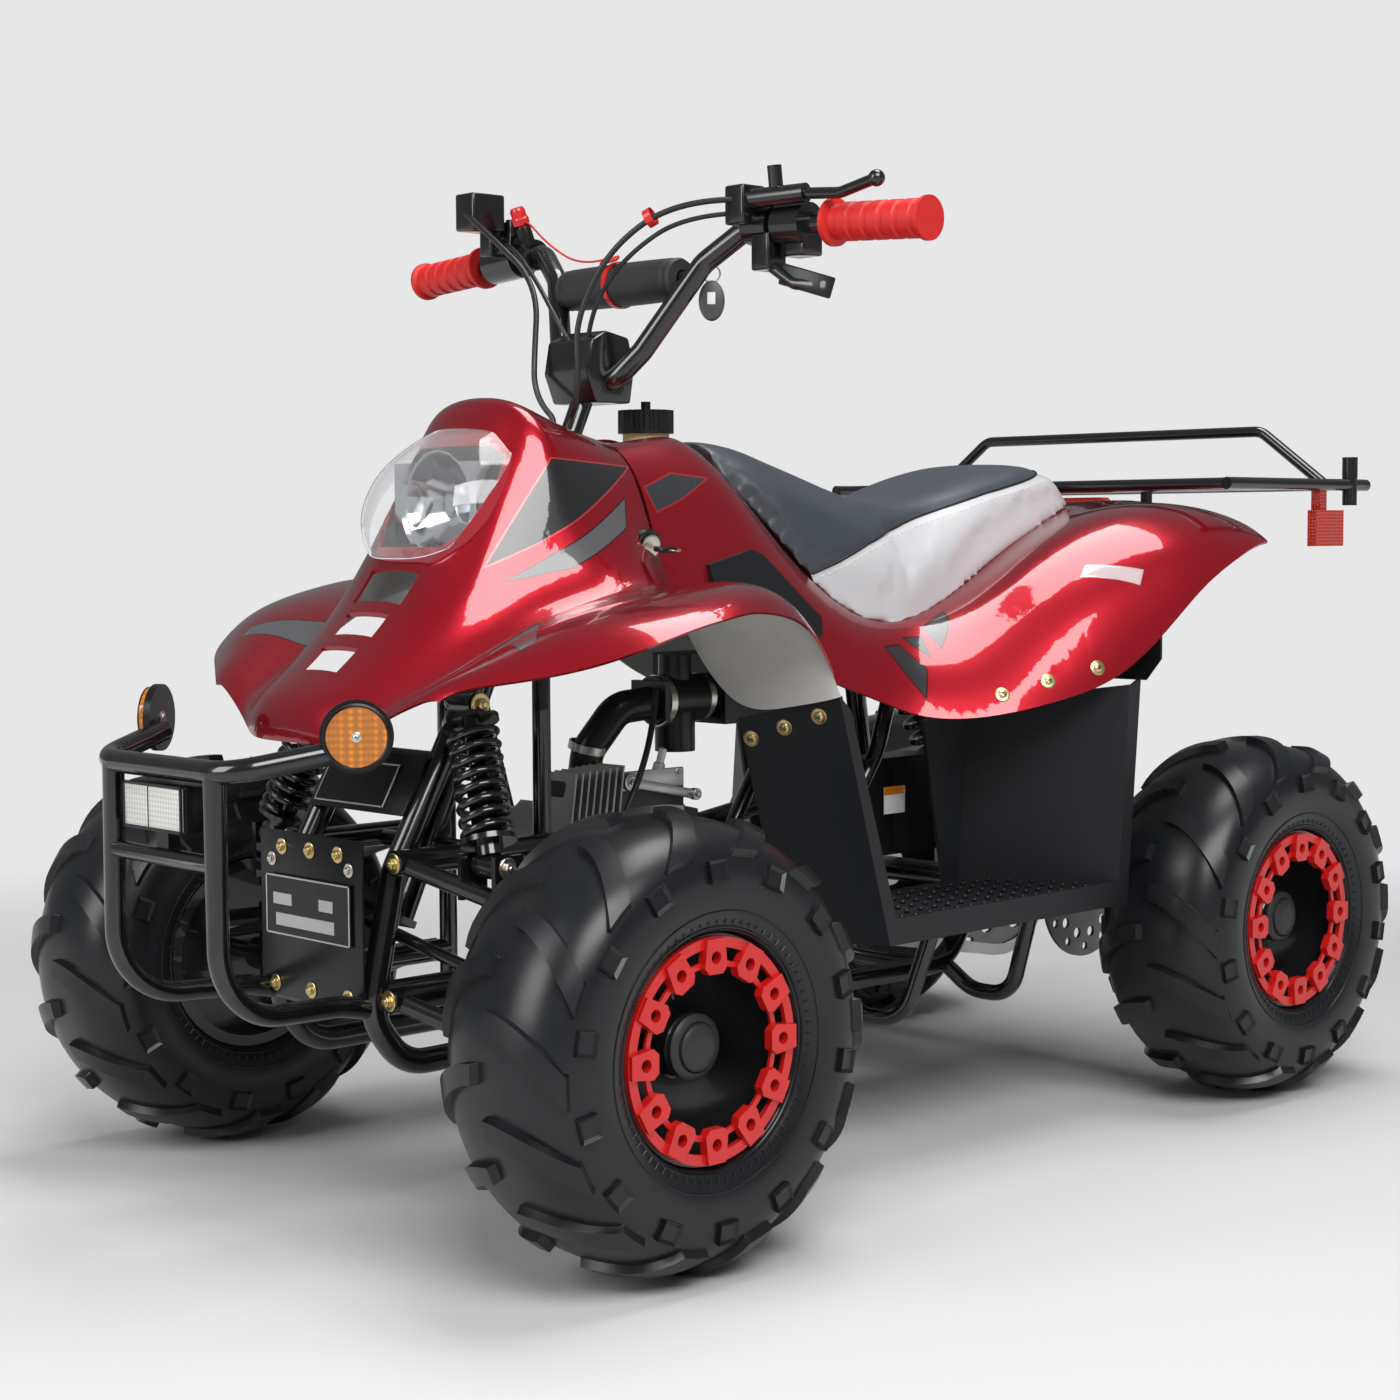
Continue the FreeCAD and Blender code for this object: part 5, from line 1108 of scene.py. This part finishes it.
def makeEngineParts():
    s = engineSet
    bm = bmesh.new()
    for place, radius, side in s["covers"]:
        for angle in wholeTurn(s["coverScrews"])[:-1]:
            spot = Vector(place) + Vector((math.cos(angle), 0, math.sin(angle))) * radius
            boltOnto(bm, "engine", spot, (0, side, 0), s["screw"])
    tilt = math.radians(s["headTilt"])
    ahead = Vector((math.cos(tilt), 0, math.sin(tilt)))
    up = Vector((-math.sin(tilt), 0, math.cos(tilt)))
    middle = Vector(s["headFoot"]) + ahead * s["headLength"]
    for a in (-0.024, 0.024):
        for b in (-0.028, 0.028):
            boltOnto(bm, "engine", middle + up * a + Vector((0, b, 0)) + ahead * 0.2, ahead, s["nut"])
    hit = onto("engine", middle + Vector((0, 0.3, 0)) - ahead * 0.012 + up * 0.006, (0, -1, 0))
    plug = hit[0] if hit else middle + Vector((0, 0.04, 0))
    lathe(bm, plugBody, aimed(plug, (0, 1, 0)), steps=18, index=1)
    lathe(bm, plugCap, aimed(plug, (0, 1, 0)), steps=18, index=2)
    for place, way, radius in clamps:
        inner, outer = radius - 0.001, radius + 0.0008
        band = [(inner, -0.004), (outer, -0.004), (outer, 0.004), (inner, 0.004)]
        lathe(bm, band, aimed(place, way), steps=40)
    finishedMesh("engineFittings", bm, "chassis", zinc, paleLabel, blackPlastic)
    return plug


plugAt = makeEngineParts()

# Left side of the cylinder head: upright fins on a core, the cover's pale plate, the polished link and a stub

headSet = {"firstFin": 0.2625, "pitch": 0.0088, "fins": 8, "tilt": -8, "finTall": 0.076, "finLoss": 0.0012,
           "core": ((0.291, 0.052, 0.366), (0.066, 0.030, 0.062)),
           "cover": ((0.204, 0.046, 0.368), (0.096, 0.026, 0.058)),
           "plate": ((0.205, 0.061, 0.3905), (0.088, 0.005, 0.019)),
           "link": ((0.196, 0.0665, 0.381), (0.098, 0.004, 0.010)), "linkTilt": -12,
           "linkEnds": ((0.240, 0.3905, 0.0090), (0.150, 0.3715, 0.0062)), "plateScrews": (0.168, 0.222),
           "stub": [(0.0062, 0.0), (0.0062, 0.010), (0.0042, 0.012), (0.0042, 0.026), (0.0003, 0.027)]}


def makeHead():
    s = headSet
    bm = bmesh.new()
    for k in range(s["fins"]):
        place = at((s["firstFin"] + k * s["pitch"], 0.058, 0.3715)) @ turned(s["tilt"], "Y")
        slab(bm, place, (0.0024, 0.044, s["finTall"] - s["finLoss"] * k), bevel=0.0007, segments=1)
    for key, bevel, tone in (("core", 0.003, 1), ("cover", 0.003, 1), ("plate", 0.001, 2)):
        place, size = s[key]
        slab(bm, at(place), size, bevel=bevel, index=tone)
    place, size = s["link"]
    slab(bm, at(place) @ turned(s["linkTilt"], "Y"), size, bevel=0.0012, index=3)
    for x, z, size in s["linkEnds"]:
        prism(bm, aimed((x, 0.0640, z), (0, 1, 0)), size, 0.0075, 24, 0.001, index=3)
        hexBolt(bm, (x, 0.0715, z), (0, 1, 0), 0.0034, index=3)
    for x in s["plateScrews"]:
        hexBolt(bm, (x, 0.0635, 0.395), (0, 1, 0), 0.0028, index=3)
    lathe(bm, s["stub"], aimed((0.186, 0.050, 0.394), (-0.25, 0.1, 1)), steps=20, index=2)
    finishedMesh("headDetails", bm, "chassis", castAlloy, darkEngine, silverPlate, steel)


makeHead()
print("engine parts made")

# Bar pad: foam sleeve with end seams and a closing flap along the back

padSet = {"halfLong": 0.088, "radius": 0.0212, "belly": 0.0010, "bore": 0.0086, "rows": 12, "flapLong": 0.156,
          "flapAngle": 2.6, "flapRadius": 0.0224,
          "ends": [(0.0190, -0.0868), (0.0209, -0.0835), (0.0193, -0.0797), (0.0212, -0.0760)]}


def makeBarPad():
    s = padSet
    bm = bmesh.new()
    sleeve = []
    for k in range(s["rows"] + 1):
        along = k / s["rows"]
        y = -s["halfLong"] * (1 - along)
        if y > -0.074:
            sleeve.append((s["radius"] + s["belly"] * math.sin(math.pi * along / 2), y))
    half = [(s["bore"], -s["halfLong"])] + s["ends"] + sleeve
    full = half + [(r, -y) for r, y in reversed(half) if y < -0.0001]
    lathe(bm, full, at(padPlace) @ turned(90, "X"), steps=56)
    back = Vector((math.cos(s["flapAngle"]), 0, math.sin(s["flapAngle"]))) * s["flapRadius"]
    flap = [padPlace + back + Vector((0, s["flapLong"] * (k / 20 - 0.5), 0)) for k in range(21)]
    tubeAlong(bm, flap, 0.0009)
    piece = finishedMesh("barPad", bm, "steering", padCloth, angle=50)
    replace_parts(piece, "bar_pad")


makeBarPad()

# Cables and wires: the two cables' routes are those of the part's source


def makeCord(name, route, radius, body="steering", material=cordRubber):
    data = routeCurve(name, route, 10)
    data.bevel_depth = radius
    data.bevel_resolution = 4
    data.materials.append(material)
    piece = linked(name, data)
    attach(piece, body)
    length = routeLength(route)
    print(name, "length", length)
    return piece


leftRoute = [(0.190, 0.168, 0.962), (0.226, 0.124, 0.962), (0.258, 0.062, 0.918), (0.272, 0.028, 0.850),
             (0.272, 0.032, 0.800), (0.271, 0.026, 0.768), (0.26407, 0.0092, 0.75028),
             (0.27945, 0.0092, 0.71728)]
rightRoute = [(0.212, -0.222, 0.984), (0.236, -0.150, 0.952), (0.238, -0.070, 0.896), (0.269, -0.040, 0.815),
              (0.271, -0.038, 0.790), (0.271, -0.026, 0.768), (0.26407, -0.0092, 0.75028),
              (0.27945, -0.0092, 0.71728)]
leftWireRoute = [(0.176, 0.172, 0.950), (0.212, 0.126, 0.950), (0.240, 0.070, 0.914),
                 (0.250, 0.030, 0.868), (0.246, 0.018, 0.838)]
rightWireRoute = [(0.170, -0.206, 0.952), (0.206, -0.150, 0.944), (0.230, -0.080, 0.898),
                  (0.248, -0.034, 0.862), (0.242, -0.020, 0.838)]
leadSteps = [(0, 0.028, 0), (0, 0.058, 0.006), (-0.030, 0.062, 0.060), (-0.070, 0.040, 0.110),
             (-0.100, 0.012, 0.145)]
lanyardRoute = [(0.174, -0.170, 0.968), (0.190, -0.150, 0.976), (0.208, -0.090, 0.940),
                (0.206, -0.040, 0.914), (0.199, -0.012, 0.9185)]
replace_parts(makeCord("brakeCable", leftRoute, 0.003), "control_cables")
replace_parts(makeCord("throttleCable", rightRoute, 0.003), "control_cables")
makeCord("leftSwitchWire", leftWireRoute, 0.0024)
makeCord("rightSwitchWire", rightWireRoute, 0.0024)
makeCord("plugLead", [tuple(plugAt + Vector(step)) for step in leadSteps], 0.0032, body="chassis")

# Kill switch with its cap, the lanyard's clip on the pad, and the cable tie

switchSet = {"at": (0.157, -0.178, 0.941), "lean": (0.42, 0, 1), "bandAt": (0.1545, -0.178, 0.940),
             "bandAlong": (-0.09, -1, -0.035), "tieAt": (0.2345, 0.098, 0.9475),
             "tieAlong": (0.030, -0.060, -0.033), "clipAt": (0.196, -0.006, 0.9175), "clipY": -0.006}
switchBand = [(0.0112, -0.008), (0.0160, -0.008), (0.0168, -0.006), (0.0168, 0.006), (0.0160, 0.008),
              (0.0112, 0.008), (0.0112, -0.008)]
switchStem = [(0.0085, 0.010), (0.0085, 0.030), (0.0074, 0.032), (0.0003, 0.032)]
switchCap = [(0.0060, 0.032), (0.0092, 0.034), (0.0096, 0.040), (0.0082, 0.042), (0.0084, 0.049),
             (0.0068, 0.052), (0.0003, 0.052)]
clipBand = [(0.0240, -0.003), (0.0240, 0.003), (0.0226, 0.003), (0.0226, -0.003), (0.0240, -0.003)]
tieBand = [(0.0088, -0.004), (0.0094, -0.004), (0.0094, 0.004), (0.0088, 0.004), (0.0088, -0.004)]


def makeKillSwitch():
    s = switchSet
    bm = bmesh.new()
    lathe(bm, switchBand, aimed(s["bandAt"], s["bandAlong"]), index=1)
    lathe(bm, switchStem, aimed(s["at"], s["lean"]), steps=24, index=1)
    lathe(bm, switchCap, aimed(s["at"], s["lean"]), steps=24)
    slab(bm, aimed(s["clipAt"], (0.5, 0, 1), spin=0.5), (0.020, 0.012, 0.0036), bevel=0.0015)
    lathe(bm, clipBand, at((padPlace.x, s["clipY"], padPlace.z)) @ turned(90, "X"), steps=48)
    lathe(bm, tieBand, aimed(s["tieAt"], s["tieAlong"]))
    finishedMesh("killSwitch", bm, "steering", redPlastic, blackPlastic)


makeKillSwitch()

# Key fob on its ring and strap, and the key in the lock

fobSet = {"at": (0.165, 0.112, 0.870), "facing": (0.74, 0.66, 0.05), "stretch": 1.55, "ring": 0.0085,
          "ringAt": 0.0265, "strapTop": ((0.1655, 0.114, 0.908), (0.1690, 0.1195, 0.9130))}
fobEdge = [(0.0003, 0.0045), (0.0095, 0.0045), (0.0122, 0.0034), (0.0130, 0.0012)]
keySet = {"from": (0.262, 0.3, 0.6265), "lean": (0, 1, -0.15), "ring": 0.0075,
          "collar": [(0.0115, 0.0004), (0.0115, 0.0016), (0.0095, 0.0022), (0.0040, 0.0018),
                     (0.0003, 0.0018)]}


def makeFob():
    s = fobSet
    bm = bmesh.new()
    facing = aimed(s["at"], s["facing"])
    up = facing.inverted().to_3x3() @ Vector((0, 0, 1))
    turn = facing @ Matrix.Rotation(math.atan2(up.y, up.x), 4, "Z")
    profile = fobEdge + [(r, -z) for r, z in reversed(fobEdge)]
    lathe(bm, profile, turn @ Matrix.Diagonal((s["stretch"], 1, 1, 1)), steps=40)
    slab(bm, turn @ at((0.002, 0, 0.0047)), (0.012, 0.008, 0.0008), bevel=0.0003, index=1)
    ring = [turn @ Vector((s["ringAt"] + s["ring"] * math.cos(t), s["ring"] * math.sin(t), 0.0008))
            for t in wholeTurn(28)]
    tubeAlong(bm, ring, 0.0009, sides=6, index=2)
    strap = [turn @ Vector((0.034, 0, 0.001))] + [Vector(place) for place in s["strapTop"]]
    tubeAlong(bm, strap, 0.0016, sides=6, index=3)
    finishedMesh("keyFob", bm, "steering", fobPlastic, paleLabel, zinc, cordRubber)


def makeKey():
    s = keySet
    bm = bmesh.new()
    hit = onto("key_switch", s["from"], (0, -1, 0))
    if hit:
        lock = aimed(hit[0], s["lean"])
        slab(bm, lock @ at((0, 0, 0.008)), (0.0085, 0.0020, 0.018), bevel=0.0006)
        slab(bm, lock @ at((0, 0, 0.0215)), (0.0215, 0.0052, 0.014), bevel=0.0022, index=1)
        ring = [lock @ Vector((0.006 + s["ring"] * math.cos(t), 0.0004, 0.026 + s["ring"] * math.sin(t)))
                for t in wholeTurn(24)]
        tubeAlong(bm, ring, 0.0007, sides=6)
        lathe(bm, s["collar"], lock, steps=28)
    finishedMesh("ignitionKey", bm, "chassis", zinc, blackPlastic)


makeFob()
makeKey()
makeCord("lanyard", lanyardRoute, 0.0011, material=redPlastic)
print("controls made")

# Stage: pale floor fading into a plain pale background, and three softboxes

stageSet = {"floor": (0.60, 0.60, 0.60, 1), "background": 0.80, "light": 0.2, "fadeStart": 1.1,
            "fadeEnd": 2.6, "floorRadius": 30, "sky": (0.92, 0.95, 1.0, 1)}
lamps = [("keyLamp", (1.6, 3.0, 3.2), (2.7, 2.0), 155), ("frontLamp", (4.0, -0.6, 2.2), (1.8, 2.6), 88),
         ("topLamp", (-0.6, 0.2, 4.0), (2.4, 1.6), 95)]


def floorMaterial():
    s = stageSet
    material, tree, shader = newMaterial("floorPaper")
    place = objectPlace(tree)
    feed(tree, shader, {"Base Color": s["floor"], "Specular IOR Level": 0.1,
                        "Roughness": ranged(tree, noise(tree, place, 3), 0.85, 0.95)})
    far = addNode(tree, "VectorMath", {0: place}, operation="LENGTH").outputs["Value"]
    reach = {"Value": far, "From Min": s["fadeStart"], "From Max": s["fadeEnd"]}
    fade = addNode(tree, "MapRange", reach, interpolation_type="SMOOTHSTEP").outputs["Result"]
    paper = addNode(tree, "Emission", {"Strength": s["background"]}).outputs[0]
    blend = addNode(tree, "MixShader", {0: fade, 1: shader.outputs[0], 2: paper}).outputs[0]
    feed(tree, tree.nodes["Material Output"], {"Surface": blend})
    return material


def makeFloor():
    bm = bmesh.new()
    bmesh.ops.create_circle(bm, cap_ends=True, segments=96, radius=stageSet["floorRadius"])
    mesh = takenMesh("floor", bm)
    mesh.materials.append(floorMaterial())
    linked("floor", mesh)


# Seen directly or through the lens the world is plain and pale, but it lights the bike only weakly
def makeWorld():
    s = stageSet
    world = bpy.data.worlds.new("studio")
    world.use_nodes = True
    tree = world.node_tree
    soft = tree.nodes["Background"]
    feed(tree, soft, {"Color": s["sky"], "Strength": s["light"]})
    white = addNode(tree, "Background", {"Color": (1, 1, 1, 1), "Strength": s["background"]}).outputs[0]
    rays = addNode(tree, "LightPath", {}).outputs
    seen = worked(tree, "MAXIMUM", rays["Is Camera Ray"], rays["Is Transmission Ray"])
    mix = addNode(tree, "MixShader", {0: seen, 1: soft.outputs[0], 2: white}).outputs[0]
    feed(tree, tree.nodes["World Output"], {"Surface": mix})
    bpy.context.scene.world = world


def makeLamp(name, place, size, power):
    data = bpy.data.lights.new(name, "AREA")
    data.shape = "RECTANGLE"
    data.size, data.size_y = size
    data.energy = power
    aim = Vector((0, 0, 0.4)) - Vector(place)
    linked(name, data).matrix_world = at(place) @ aim.to_track_quat("-Z", "Y").to_matrix().to_4x4()


makeFloor()
makeWorld()
for lamp in lamps:
    makeLamp(*lamp)
bpy.context.scene.view_settings.view_transform = "Standard"
print("stage made")
